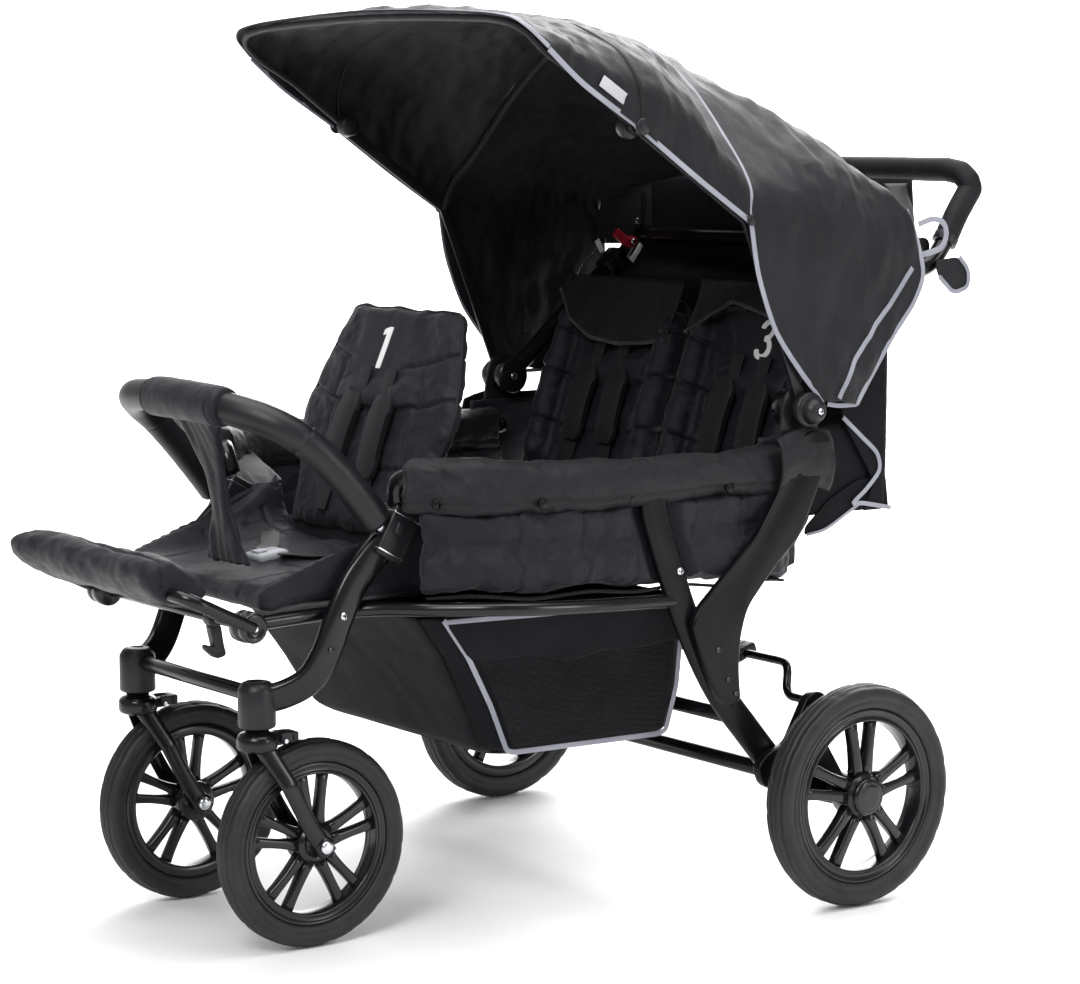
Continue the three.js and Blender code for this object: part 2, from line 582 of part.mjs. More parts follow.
// Handle loop with its hub discs, foam and cross bar
const handle_side = smooth(handle_route.map(([y, z]) => [handle_x, y, z]), 11);
const handle_bend = [[handle_x - 3, 273, 964], [handle_x - 13, 269, 974], [handle_corner_x, ...handle_bar]];
const handle_path = mirrorRoute(handle_side.concat(handle_bend, [[0, ...handle_bar]]));
const hub_disc = rod([handle_x - hub_disc_thick / 2, ...hub_point], [handle_x + hub_disc_thick / 2, ...hub_point],
  hub_disc_radius, 20);
const hub_bore = rod([handle_x - 20, ...hub_point], [handle_x + 20, ...hub_point], hub_pin_radius + turn_gap, 16);
const discs = [hub_disc, mirror(hub_disc)];
add('handle_tube', cutAll(joinAll([tube(handle_path, handle_radius, 10), ...discs,
  rod([-handle_x, ...cross_bar], [handle_x, ...cross_bar], handle_radius, 12)]), [hub_bore, mirror(hub_bore)]), 'steel');
const handle_room = tube(handle_path, handle_radius + seat_gap, 10);
const foam_side = handle_side.filter(([, y]) => y > 225);
const foam_path = mirrorRoute(foam_side.concat(handle_bend, [[0, ...handle_bar]]));
const cross_bar_room = rod([-handle_x, ...cross_bar], [handle_x, ...cross_bar], handle_radius + seat_gap, 12);
add('handle_foam', cutAll(tube(foam_path, handle_foam_radius, 12), [handle_room, cross_bar_room]), 'foam');

// Fold latch on the right handle tube: clamp, red lever, pin and wire bale
const latch_at = [-handle_x, 150, 829];
const clamp = block([34, 34, 40], latch_at, -47, 3).subtract(handle_room);
const latch_knob = rod([-handle_x + 12, 140, 800], [-handle_x + 30, 140, 800], 12, 16, 9);
const lever_pin = [166, 862];
add('latch_clamp', joinAll([clamp, block([6, 16, 26], [-handle_x + 14, 142, 812], -30, 1),
  rod([-handle_x + 10, 140, 800], [-handle_x + 30, 140, 800], 12, 16, 9),
  rod([-handle_x + 14, ...lever_pin], [-handle_x + 30, ...lever_pin], 3, 12),
  block([8, 18, 34], [-handle_x + 13, 162, 850], -40, 1)]).subtract(handle_room), 'black');
const red_lever = joinAll([rod([-handle_x + 18, ...lever_pin], [-handle_x + 28, ...lever_pin], 9, 16),
  block([10, 14, 34], [-handle_x + 23, 148, 868], 52, 2)]);
add('latch_lever', red_lever.subtract(rod([-handle_x, ...lever_pin], [-handle_x + 40, ...lever_pin],
  3 + turn_gap, 12)), 'red');

// Grab bar: steel core with pegs, foam, and the crotch cover hanging from its middle
const core_path = [onPeg(-peg_depth), onPeg(0)].concat(smooth([onPeg(0.5), ...grab_route], 8).slice(1));
const grab_core = tube(mirrorRoute(core_path), grab_core_radius, 8);
const grab_room = tube(mirrorRoute(core_path), grab_core_radius + seat_gap, 8);
add('grab_bar_core', grab_core, 'steel');
const foam_core = [onPeg(4)].concat(smooth([onPeg(5), ...grab_route], 8).slice(1));
add('grab_bar_foam', cutAll(tube(mirrorRoute(foam_core), grab_foam_radius, 12), [grab_room,
  ...both([socket(turn_gap)])]), 'foam');
const grab_foam_room = tube(mirrorRoute(foam_core), grab_foam_radius + soft_gap, 12);
const cover_line = [-1, -0.5, 0, 0.5, 1].map((u) => [u * cover_half, -805 + 4.4 * u * u, 696 - 2.2 * u * u]);
const cover_wrap = tube(cover_line, grab_foam_radius + 5, 20);
const strap_rings = [[698, -800, 66, 17], [672, -792, 58, 14], [640, -778, 36, 10], [598, -764, 24, 8],
  [550, -756, 24, 8], [508, -750, 40, 9], [484, -746, 52, 9]];
const strap = loft(strap_rings.map(([z, y, half, deep]) => [[-half, y - deep, z], [0, y - deep * 1.25, z],
  [half, y - deep, z], [half, y + deep, z], [0, y + deep * 1.2, z], [-half, y + deep, z]]));

// Front seat: a hammock cushion with raised sides, on the seat tubes
const seat1_rings = seat1_ys.map((y, row) => {
  const ring = [];
  const shrink = row === 0 || row === seat1_ys.length - 1 ? 0.97 : 1;
  for (let i = 0; i <= 14; i += 1) {
    const u = i / 7 - 1;
    const rise = Math.abs(u) ** 9;
    const dimple = 2.5 * Math.cos(3 * Math.PI * u) * (1 - rise);
    ring.push([u * seat1_half * shrink, y, seat1_mid_tops[row] + (seat1_edge_tops[row] - seat1_mid_tops[row]) * rise
      + dimple * (row === 0 ? 0 : 1)]);
  }
  for (let i = 14; i >= 0; i -= 1) {
    const u = i / 7 - 1;
    ring.push([u * seat1_half * shrink * 0.985, y, seat1_floor]);
  }
  return ring;
});
const back1_swing = rod([-200, ...back1_pivot], [200, ...back1_pivot], back_roll + turn_gap + 0.2, 24);
const side_rooms = [seat_tube_room, front_leg_room, socket(soft_gap), rear_leg_room, bracket_room, strut_room];
const rest_disc_room = rod([rest_disc_inner - 1, ...rest_pivot], [rest_disc_inner + 40, ...rest_pivot],
  rest_disc_radius + 2, 24);
add('seat1_base', cutAll(loft(seat1_rings), both([seat_tube_room, front_leg_room, rest_disc_room,
  socket(soft_gap)])
  .concat([back1_swing])), 'fabric');

// A padded back: rows from its hinge roll to its rounded top, with sewn channels
function paddedBack(halves, height, thick, centre_x, pivot, lean) {
  const rows = 10;
  const halfAt = (t) => {
    const i = Math.max(halves.findIndex(([share]) => share >= t), 1);
    const [low, high] = [halves[i - 1], halves[i]];
    return low[1] + (high[1] - low[1]) * (t - low[0]) / (high[0] - low[0]);
  };
  const rings = [];
  for (let r = 0; r < rows; r += 1) {
    const t = r / (rows - 1);
    const z = t * height;
    const half = halfAt(t);
    const channel = 1 - 0.16 * (r % 3 === 0 ? 1 : 0);
    const depth = Math.max(thick / 2 * channel * (t > 0.96 ? 0.35 : 1) * (t < 0.05 ? 0.55 : 1), 4);
    const ring = [];
    for (let i = 0; i < 16; i += 1) {
      const a = i / 16 * 2 * Math.PI;
      const c = Math.cos(a), s = Math.sin(a);
      ring.push([half * Math.sign(c) * Math.abs(c) ** 0.7, -depth * Math.sign(s) * Math.abs(s) ** 0.6, z]);
    }
    rings.push(ring);
  }
  return loft(rings).rotate([-lean, 0, 0]).translate([centre_x, ...pivot]);
}
const roll = (half, centre_x, pivot, radius) => rod([centre_x - half, ...pivot], [centre_x + half, ...pivot],
  radius, 14);
const back1 = paddedBack(back1_halves, back1_height, back1_thick, 0, back1_pivot, back1_lean)
  .add(roll(back1_halves[0][1] - 6, 0, back1_pivot, back_roll));
add('seat1_back', back1, 'fabric');

// Rear bench cushion and the two rear backs with their side columns
const bench_rings = bench_ys.map((y, row) => {
  const ring = [];
  for (let i = 0; i <= 12; i += 1) {
    const u = i / 6 - 1;
    const crown = row === 0 ? 0 : 3 * Math.abs(Math.sin(2 * Math.PI * u));
    ring.push([u * bench_half, y, bench_tops[row] - 3 * Math.abs(u) ** 6 * (row ? 1 : 0) + (row ? crown - 1.5 : 0)]);
  }
  for (let i = 12; i >= 0; i -= 1) ring.push([(i / 6 - 1) * bench_half, y, bench_floor]);
  return ring;
});
const back2_swing = rod([-330, ...back2_pivot], [330, ...back2_pivot], back_roll + turn_gap, 24);

// Quilted side wall below each rail, following it in plan
function acrossRail(t) {
  const a = alongRail(Math.max(t - 0.02, 0)), b = alongRail(Math.min(t + 0.02, 1));
  const long = Math.hypot(b[0] - a[0], b[1] - a[1]);
  return [-(b[1] - a[1]) / long, (b[0] - a[0]) / long];
}
function alongRail(t) {
  const i = Math.min(Math.floor(t * (rail_path.length - 1)), rail_path.length - 2);
  const f = t * (rail_path.length - 1) - i;
  return [0, 1, 2].map((k) => rail_path[i][k] * (1 - f) + rail_path[i + 1][k] * f);
}
const wall_rings = [];
const wall_steps = 18;
for (let s = 0; s <= wall_steps; s += 1) {
  const t = s / wall_steps * 0.9;
  const [x, y] = alongRail(t);
  const [u, v] = acrossRail(t);
  const swell = Math.abs(Math.sin(s / wall_steps * Math.PI * wall_puffs));
  const out = wall_half + wall_puff * swell;
  const low = wall_low - 16 * (1 - s / wall_steps) ** 2 + 6 * Math.sin(s * 1.3) * 0.4;
  const high = sleeve_low + 4;
  const mid = (low + high) / 2;
  wall_rings.push([[7, low], [7 + out, low + 12], [9 + out * 1.1, mid - 12], [6 + out * 0.9, mid + 14],
    [8 + out, high - 8], [8, high], [-10, high], [-12, mid], [-10, low + 8], [-4, low]].map(
    ([off, z]) => [x + off * u, y + off * v, z]));
}
const wall = cutAll(loft(wall_rings), side_rooms);
const wall_room = loft(wall_rings.map((ring) => ring.map(([x, y, z]) => [x - soft_gap, y, z])));

// Padded sleeve over each rail
const sleeve_rings = [];
const sleeve_steps = 13;
for (let s = 0; s <= sleeve_steps; s += 1) {
  const t = 0.02 + s / sleeve_steps * 0.9;
  const [x, y, z] = alongRail(t);
  const [u, v] = acrossRail(t);
  const sag = 2.2 * Math.sin(s * 1.9);
  const high = sleeve_high + (z - 590) * 0.9 + sag * 0.6;
  const out = sleeve_half + (s < 4 ? -3 : 0) + sag;
  sleeve_rings.push([[out + 6, sleeve_low + 2], [out + 9, sleeve_low + 30], [out + 4, high - 12], [8, high],
    [-10, high - 1], [-19, high - 14], [-19, sleeve_low + 20], [-14, sleeve_low], [6, sleeve_low]].map(
    ([off, level]) => [x + off * u, y + off * v, level]));
}
addPair('side_fabric', wall.add(cutAll(loft(sleeve_rings), [rail_room, ...side_rooms])), 'fabric');

add('rear_bench', cutAll(loft(bench_rings), [wall_room, mirror(wall_room), back2_swing,
  rear_leg_room, mirror(rear_leg_room)]), 'fabric');
const column = (side) => {
  const rings = [];
  for (let r = 0; r <= 6; r += 1) {
    const t = r / 6;
    const z = 22 + t * (back2_height - 46);
    const fat = 0.75 + 0.25 * Math.sin(Math.PI * t) + 0.06 * (r % 2);
    const ring = [];
    for (let i = 0; i < 9; i += 1) {
      const a = i / 9 * 2 * Math.PI;
      ring.push([side * (back2_half - 24) + 21 * fat * Math.cos(a), -column_depth * (0.55 + 0.75 * fat * Math.sin(a)), z]);
    }
    rings.push(ring);
  }
  return loft(rings);
};
const back2 = paddedBack(back2_halves, back2_height, back2_thick, 0, [0, 0], 0)
  .add(column(1)).add(column(-1)).rotate([-back2_lean, 0, 0]).translate([0, ...back2_pivot])
  .add(roll(back2_half - 8, 0, back2_pivot, back_roll));
add('seat3_back', back2.translate([back2_x, 0, 0]), 'fabric');
add('seat2_back', mirror(back2.translate([back2_x, 0, 0])), 'fabric');

// Leg rest: folding frame, padded pouch and release lever
const outer_disc_from = rest_disc_inner + rest_disc_thick + turn_gap;
const frame_disc = rod([outer_disc_from, ...rest_pivot], [outer_disc_from + 15, ...rest_pivot], rest_disc_radius - 1, 20);
const frame_route = rest_route.map(([y, z]) => [rest_frame_x, y, z]).concat([[188, -900, 471], [160, -907, 474],
  [0, -907, 474]]);
const frame_path = mirrorRoute(frame_route);
const disc_guard = rod([-outer_disc_from + turn_gap, ...rest_pivot], [outer_disc_from - turn_gap, ...rest_pivot],
  rest_disc_radius + 2, 24);
add('legrest_frame', joinAll([tube(frame_path, rest_tube_radius, 9), frame_disc, mirror(frame_disc)])
  .subtract(disc_guard), 'steel');
const frame_room = tube(frame_path, rest_tube_radius + soft_gap, 9);
// Rows of the pad: x, share of its size, how far the front edge reaches, lift of the front edge
const pad_rows = [[-204, 0.34, 14, -4], [-184, 0.86, 10, 2], [-150, 0.98, 3, 3], [-75, 1, 0, 0], [0, 1.02, -2, -2],
  [75, 1, -2, -3], [125, 0.98, -1, -2], [158, 0.9, 0, 0], [170, 0.72, 0, 0]];
const pad_outline = [[-838, 462], [-842, 480], [-868, 500], [-900, 516], [-928, 523], [-944, 514], [-947, 496],
  [-936, 474], [-908, 458], [-868, 452]];
const pad_middle = [-903, 480];
const pad_rings = pad_rows.map(([x, share, reach, lift]) => pad_outline.map(([y, z]) => {
  const ahead = Math.max((pad_middle[0] - y) / 44, 0);
  return [x, pad_middle[0] + (y - pad_middle[0]) * share - reach * ahead,
    pad_middle[1] + (z - pad_middle[1]) * share + lift * ahead];
}));
add('legrest_pad', cutAll(loft(pad_rings), [frame_room]), 'fabric');
const lever_collar = rod([lever_x - 8, ...rest_pivot], [lever_x + 8, ...rest_pivot], 11, 16);
const lever_plate = sidePlate([[-816, 418], [-800, 418], [-796, 392], [-792, 378], [-806, 374], [-822, 388],
  [-820, 394], [-809, 388]], lever_x - 6, 12);
add('legrest_lever', joinAll([lever_collar, lever_plate]).subtract(rod([lever_x - 20, ...rest_pivot],
  [lever_x + 20, ...rest_pivot], pivot_bar_radius + turn_gap, 14)), 'black');

// Crotch cover, after the seat that it is sewn to
const seat1_room = loft(seat1_rings.map((ring) => ring.map(([x, y, z]) => [x * 1.01, y - soft_gap, z + soft_gap])));
add('crotch_cover', cutAll(joinAll([cover_wrap, strap]), [grab_foam_room, seat1_room]), 'fabric');

// Harness buckle on the front seat
add('harness_buckle', block([42, 46, 14], [0, -668, 481.8], 6, 3)
  .subtract(block([20, 16, 10], [0, -680, 487], 6)).subtract(loft(seat1_rings.map((ring) => ring.map(
    ([x, y, z]) => [x, y, z + seat_gap])))), 'black');
add('buckle_button', block([19, 15, 5], [0, -680, 487.6], 6, 0.8), 'black');

// Basket under the seats: an open tub that spreads from its floor to its rim
const basketRing = ([z, front, rear, half_front, half_rear], inward) => {
  const c = basket_corner;
  const f = front + inward, r = rear - inward, hf = half_front - inward, hr = half_rear - inward;
  return [[hf - c, f], [hf, f + c], [hr, r - c], [hr - c, r], [c - hr, r], [-hr, r - c], [-hf, f + c],
    [c - hf, f]].map(([x, y]) => [x, y, z]);
};
const tub = loft(basket_rows.map((row) => basketRing(row, 0)));
const [floor_row, ...rim_rows] = basket_rows;
const hollow = loft([[floor_row[0] + basket_skin, ...floor_row.slice(1)], ...rim_rows].map(
  (row) => basketRing(row, basket_skin)).concat([basketRing([basket_rows.at(-1)[0] + 2,
  ...basket_rows.at(-1).slice(1)], basket_skin)]));
add('basket', cutAll(tub, [hollow, ...both([seat_tube_room, rear_leg_room])]), 'lining');

// Hood arms, arch, visor bow and their knobs
const arm_outline = (points, half) => {
  const left = [], right = [];
  points.forEach(([y, z], i) => {
    const [py, pz] = points[Math.max(i - 1, 0)], [ny, nz] = points[Math.min(i + 1, points.length - 1)];
    const len = Math.hypot(ny - py, nz - pz);
    left.push([y - (nz - pz) / len * half, z + (ny - py) / len * half]);
    right.unshift([y + (nz - pz) / len * half, z - (ny - py) / len * half]);
  });
  return left.concat(right);
};
const arm_bore = rod([hood_arm_inner - 2, ...hub_point], [hood_arm_inner + 8, ...hub_point],
  hub_pin_radius + turn_gap, 16);
const hood_disc = rod([hood_arm_inner, ...hub_point], [hood_arm_inner + hood_arm_thick, ...hub_point], 20, 20);
const knob_disc = rod([318, ...knob_pivot], [333.6, ...knob_pivot], 14, 20, 16);
const knob_pin = rod([330, ...knob_pivot], [hood_arm_inner + 2, ...knob_pivot], 4, 12);
const hood_arm = cutAll(joinAll([sidePlate(arm_outline([hub_point, rivet_point, knob_pivot], 8),
  hood_arm_inner, hood_arm_thick), hood_disc, knob_disc, knob_pin]), [arm_bore]);
const inset = (line, by) => line.map(([x, y, z]) => {
  const reach = Math.hypot(x, z - 880);
  return [x - x / reach * by, y, z - (z - 880) / reach * by];
});
const arch_path = mirrorRoute(inset(arch_line, hood_skin + hood_tube_radius + seat_gap));
const arch_tube = tube(smooth(arch_path, 20), hood_tube_radius, 7);
add('hood_frame', joinAll([hood_arm, mirror(hood_arm), arch_tube]), 'steel');
const arch_room = tube(smooth(arch_path, 20), hood_tube_radius + seat_gap, 7);

const visor_x = 339.5;
const bow_front = inset(front_line, hood_skin + 4.5 + seat_gap).map(([x, y, z]) => [Math.min(x, visor_x), y + 7, z]);
const bow_path = [[visor_x, ...knob_pivot], [visor_x, -414, 1100]].concat(bow_front);
const eye = rod([visor_x - 5, ...knob_pivot], [visor_x + 5, ...knob_pivot], 9, 16);
const eye_bore = rod([visor_x - 8, ...knob_pivot], [visor_x + 8, ...knob_pivot], 4 + turn_gap, 12);
add('visor_bow', cutAll(joinAll([tube(mirrorRoute(bow_path), 4.5, 7), eye, mirror(eye)]),
  [eye_bore, mirror(eye_bore)]), 'steel');
const bow_room = tube(mirrorRoute(bow_path), 4.5 + seat_gap, 7);

// Cloth grid through a few lines, curved both ways
function clothGrid(lines, rows, columns) {
  const across = lines.map((line) => {
    const curve = new THREE.CatmullRomCurve3(mirrorRoute(line).map((p) => new THREE.Vector3(...p)), false,
      'catmullrom', 0.4);
    return Array.from({ length: columns }, (_, i) => curve.getPoint(i / (columns - 1)));
  });
  const grid = Array.from({ length: rows }, () => []);
  for (let c = 0; c < columns; c += 1) {
    const down = new THREE.CatmullRomCurve3(across.map((row) => row[c]), false, 'catmullrom', 0.4);
    for (let r = 0; r < rows; r += 1) grid[r].push(down.getPoint(r / (rows - 1)).toArray());
  }
  return grid;
}
const hood_panel = sheet(clothGrid([knob_line, mid_line, arch_line], 5, 21), hood_skin);
const visor_rows = clothGrid([front_line, visor_line, knob_line.map(([x, y, z]) => [x, y - 0.6, z])], 5, 21);
const visor_canopy = sheet(visor_rows, hood_skin);
const rear_panel = sheet(clothGrid([arch_long_line, crest_line, fall_line, rear_line], 7, 23), hood_skin);
add('hood_panel', (cutAll(hood_panel, [arch_room])), 'fabric');
add('visor_canopy', (cutAll(visor_canopy, [hood_panel, bow_room])), 'fabric');
add('hood_rear_panel', (cutAll(rear_panel, [hood_panel, hood_panel.translate([0, seat_gap, 0]),
  hood_panel.translate([0, 0, seat_gap]), hood_panel.translate([0, 0, -seat_gap]),
  arch_room])), 'fabric');
const curtain_grid = curtain_rows.map(([z, half, front, back]) => mirrorRoute([[half, front, z],
  [half, (front + back) / 2, z], [half - 1, back - 14, z], [half - 12, back - 2, z], [half * 0.7, back + 3, z],
  [half * 0.35, back + 5, z], [0, back + 6, z]]));
add('rear_curtain', sheet(curtain_grid, curtain_skin), 'fabric');

// Centre the part over its origin
const group = new THREE.Group();
group.name = 'multi_seat_daycare_stroller';
const box = new THREE.Box3();
for (const mesh of parts) {
  mesh.geometry.computeBoundingBox();
  box.union(mesh.geometry.boundingBox);
}
const centre = box.getCenter(new THREE.Vector3());
for (const mesh of parts) {
  mesh.geometry.translate(0, -centre.y, -box.min.z);
  mesh.geometry.computeBoundingBox();
  group.add(mesh);
}
export default group;
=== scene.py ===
import math

import bmesh
import bpy
import numpy as np
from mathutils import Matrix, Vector, noise
from mathutils.bvhtree import BVHTree


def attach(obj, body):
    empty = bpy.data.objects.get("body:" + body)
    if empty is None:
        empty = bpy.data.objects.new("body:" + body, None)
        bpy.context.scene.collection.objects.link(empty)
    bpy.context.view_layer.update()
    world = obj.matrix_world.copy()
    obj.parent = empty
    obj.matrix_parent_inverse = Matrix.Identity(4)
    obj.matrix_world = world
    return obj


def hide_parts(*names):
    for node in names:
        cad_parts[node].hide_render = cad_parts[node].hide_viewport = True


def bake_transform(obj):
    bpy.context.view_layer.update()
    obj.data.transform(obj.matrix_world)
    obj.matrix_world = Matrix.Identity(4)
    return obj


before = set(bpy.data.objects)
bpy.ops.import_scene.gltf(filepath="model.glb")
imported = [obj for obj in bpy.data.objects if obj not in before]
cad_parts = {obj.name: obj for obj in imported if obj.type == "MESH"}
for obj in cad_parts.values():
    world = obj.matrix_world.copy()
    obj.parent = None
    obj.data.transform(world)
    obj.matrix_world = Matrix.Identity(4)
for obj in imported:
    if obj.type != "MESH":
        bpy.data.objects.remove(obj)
scene = bpy.context.scene
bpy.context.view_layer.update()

# The routes below are in millimetres from the floor under the rear axle, as in the CAD source.
SHIFT = 329.83826


def place(points):
    """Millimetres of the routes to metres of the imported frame."""
    a = np.asarray(points, dtype=float).copy()
    a[..., 1] += SHIFT
    return a / 1000.0


# ---- meshes ----

def new_mesh(name, verts, faces, material):
    mesh = bpy.data.meshes.new(name)
    mesh.from_pydata([tuple(v) for v in verts], [], [tuple(f) for f in faces])
    mesh.validate()
    mesh.materials.append(material)
    mesh.polygons.foreach_set("use_smooth", [True] * len(mesh.polygons))
    obj = bpy.data.objects.new(name, mesh)
    scene.collection.objects.link(obj)
    return obj


def angle_smooth(obj, degrees=35):
    mod = obj.modifiers.new("edge", "EDGE_SPLIT")
    mod.split_angle = math.radians(degrees)
    return obj


def bevel(obj, width):
    mod = obj.modifiers.new("bevel", "BEVEL")
    mod.width = width / 1000.0
    mod.segments = 3
    mod.limit_method = "ANGLE"
    mod.angle_limit = math.radians(40)
    mod.harden_normals = False


def subdivide(obj, levels=1):
    mod = obj.modifiers.new("subdivision", "SUBSURF")
    mod.levels = levels
    mod.render_levels = levels


def rings_mesh(name, rings, material):
    """Closed skin over equal rings of points, in metres."""
    rings = [np.asarray(r) for r in rings]
    n = len(rings[0])
    verts = [v for ring in rings for v in ring]
    faces = []
    for r in range(len(rings) - 1):
        for i in range(n):
            j = (i + 1) % n
            faces.append((r * n + i, r * n + j, (r + 1) * n + j, (r + 1) * n + i))
    last = (len(rings) - 1) * n
    faces += [tuple(range(n - 1, -1, -1)), tuple(range(last, last + n))]
    obj = new_mesh(name, verts, faces, material)
    fix_normals(obj)
    return obj


def fix_normals(obj):
    bm = bmesh.new()
    bm.from_mesh(obj.data)
    bmesh.ops.recalc_face_normals(bm, faces=bm.faces)
    bm.to_mesh(obj.data)
    bm.free()


def oval(rx, ry, sides, power=1.0):
    """Points round an oval; a power below 1 makes it boxier."""
    t = (np.arange(sides) + 0.5) / sides * 2 * math.pi
    c, s = np.cos(t), np.sin(t)
    return np.stack([rx * np.sign(c) * np.abs(c) ** power, ry * np.sign(s) * np.abs(s) ** power], axis=1)


def frames_along(path, first):
    """Two directions square to a path at each of its points, without twist."""
    path = np.asarray(path, dtype=float)
    tangents = np.gradient(path, axis=0)
    tangents /= np.linalg.norm(tangents, axis=1)[:, None]
    normal = np.asarray(first, dtype=float)
    out = []
    for t in tangents:
        normal = normal - t * normal.dot(t)
        normal /= np.linalg.norm(normal)
        out.append((normal.copy(), np.cross(t, normal)))
    return out


def sweep(name, path, rx, ry, material, sides=24, power=1.0, first=(1, 0, 0), scale=None):
    """Tube of an oval section along a path, in the millimetre frame."""
    path = np.asarray(path, dtype=float)
    section = oval(rx, ry, sides, power)
    rings = []
    for k, (p, (n, b)) in enumerate(zip(path, frames_along(path, first))):
        s = 1.0 if scale is None else scale[k]
        rings.append(place(p + s * (section[:, :1] * n + section[:, 1:] * b)))
    return rings_mesh(name, rings, material)


def centripetal(points, count):
    """The same smooth route as the CAD source: centripetal, evenly spaced."""
    p = [np.asarray(q, dtype=float) for q in points]
    p = [2 * p[0] - p[1]] + p + [2 * p[-1] - p[-2]]
    dense = []
    for i in range(1, len(p) - 2):
        p0, p1, p2, p3 = p[i - 1:i + 3]
        t0 = 0.0
        t1 = t0 + max(np.linalg.norm(p1 - p0), 1e-6) ** 0.5
        t2 = t1 + max(np.linalg.norm(p2 - p1), 1e-6) ** 0.5
        t3 = t2 + max(np.linalg.norm(p3 - p2), 1e-6) ** 0.5
        for t in np.linspace(t1, t2, 24, endpoint=False):
            a1 = (t1 - t) / (t1 - t0) * p0 + (t - t0) / (t1 - t0) * p1
            a2 = (t2 - t) / (t2 - t1) * p1 + (t - t1) / (t2 - t1) * p2
            a3 = (t3 - t) / (t3 - t2) * p2 + (t - t2) / (t3 - t2) * p3
            b1 = (t2 - t) / (t2 - t0) * a1 + (t - t0) / (t2 - t0) * a2
            b2 = (t3 - t) / (t3 - t1) * a2 + (t - t1) / (t3 - t1) * a3
            dense.append((t2 - t) / (t2 - t1) * b1 + (t - t1) / (t2 - t1) * b2)
    dense.append(p[-2])
    return even(dense, count)


def even(points, count):
    """The same line in count equal steps."""
    a = np.asarray(points, dtype=float)
    s = np.concatenate([[0], np.cumsum(np.linalg.norm(np.diff(a, axis=0), axis=1))])
    u = np.linspace(0, s[-1], count + 1)
    return np.stack([np.interp(u, s, a[:, k]) for k in range(3)], axis=1)


def both_halves(points):
    """A line from its near end to the middle, carried on to the far side."""
    a = [tuple(p) for p in points]
    other = [(-x, y, z) for x, y, z in reversed(a)]
    return a + (other[1:] if a[-1][0] == 0 else other)


def corner(a, b, c, radius, share, steps):
    """The bend at b between a and c, rounded off over no more than a share of each side."""
    da, dc = np.linalg.norm(a - b), np.linalg.norm(c - b)
    r = min(radius, da * share, dc * share)
    s, e = b + (a - b) / da * r, b + (c - b) / dc * r
    return [(1 - t) ** 2 * s + 2 * t * (1 - t) * b + t * t * e for t in np.linspace(0, 1, steps)]


def soften(points, count, radius):
    """A polyline with its corners rounded off, evenly spaced."""
    p = np.asarray(points, dtype=float)
    out = [p[0]]
    for i in range(1, len(p) - 1):
        out += corner(p[i - 1], p[i], p[i + 1], radius, 0.5, 9)
    out.append(p[-1])
    return even(out, count)


def lathe(name, profile, material, centre, axis="X", segments=64, outward=1, shape=None):
    """Profile of (radius, along) turned about an axis through centre, in millimetres."""
    rings = []
    for i in range(segments):
        a = i / segments * 2 * math.pi
        ring = []
        for r, h in profile:
            if shape is not None:
                r, h = shape(r, h, a)
            c, s = r * math.cos(a), r * math.sin(a)
            h *= outward
            ring.append((h, c, s) if axis == "X" else (c, s, h))
        rings.append(place(np.asarray(centre, dtype=float) + np.asarray(ring)))
    n = len(profile)
    verts = [v for ring in rings for v in ring]
    faces = []
    for r in range(segments):
        q = (r + 1) % segments
        for i in range(n - 1):
            faces.append((r * n + i, q * n + i, q * n + i + 1, r * n + i + 1))
    obj = new_mesh(name, verts, faces, material)
    bm = bmesh.new()
    bm.from_mesh(obj.data)
    bmesh.ops.remove_doubles(bm, verts=bm.verts, dist=1e-6)
    bmesh.ops.recalc_face_normals(bm, faces=bm.faces)
    bm.to_mesh(obj.data)
    bm.free()
    return obj


def rod(name, a, b, radius, material, sides=32):
    """Round bar from a to b with softened ends."""
    a, b = np.asarray(a, dtype=float), np.asarray(b, dtype=float)
    d = (b - a) / np.linalg.norm(b - a)
    length = np.linalg.norm(b - a)
    c = min(0.6, radius * 0.4, length * 0.4)
    first = (0, 0, 1) if abs(d[2]) < 0.9 else (1, 0, 0)
    n = np.cross(first, d)
    n /= np.linalg.norm(n)
    m = np.cross(d, n)
    rings = []
    for dist, rad in ((0, radius - c), (c * 0.3, radius - c * 0.3), (c, radius), (length - c, radius),
                      (length - c * 0.3, radius - c * 0.3), (length, radius - c)):
        t = np.arange(sides) / sides * 2 * math.pi
        rings.append(place(a + d * dist + rad * (np.cos(t)[:, None] * n + np.sin(t)[:, None] * m)))
    return angle_smooth(rings_mesh(name, rings, material), 50)


def block(name, size, centre, material, lean=0.0, width=1.5):
    """Box of a size about a centre, leaning about the X axis, with rounded edges."""
    w, d, h = (s / 2 for s in size)
    corners = np.array([(x, y, z) for x in (-w, w) for y in (-d, d) for z in (-h, h)], dtype=float)
    c, s = math.cos(math.radians(lean)), math.sin(math.radians(lean))
    rot = np.array([[1, 0, 0], [0, c, -s], [0, s, c]])
    corners = corners @ rot.T + np.asarray(centre, dtype=float)
    faces = [(0, 1, 3, 2), (4, 6, 7, 5), (0, 4, 5, 1), (2, 3, 7, 6), (0, 2, 6, 4), (1, 5, 7, 3)]
    obj = new_mesh(name, place(corners), faces, material)
    fix_normals(obj)
    bevel(obj, width)
    return angle_smooth(obj, 60)


def plate(name, outline, inner, thick, material, width=2.0, side=1):
    """Flat plate with an outline in side view, between two distances from the middle."""
    n = len(outline)
    verts = [(side * inner, y, z) for y, z in outline] + [(side * (inner + thick), y, z) for y, z in outline]
    faces = [tuple(range(n)), tuple(range(2 * n - 1, n - 1, -1))]
    faces += [(i, (i + 1) % n, n + (i + 1) % n, n + i) for i in range(n)]
    obj = new_mesh(name, place(verts), faces, material)
    fix_normals(obj)
    bevel(obj, width)
    return angle_smooth(obj, 50)


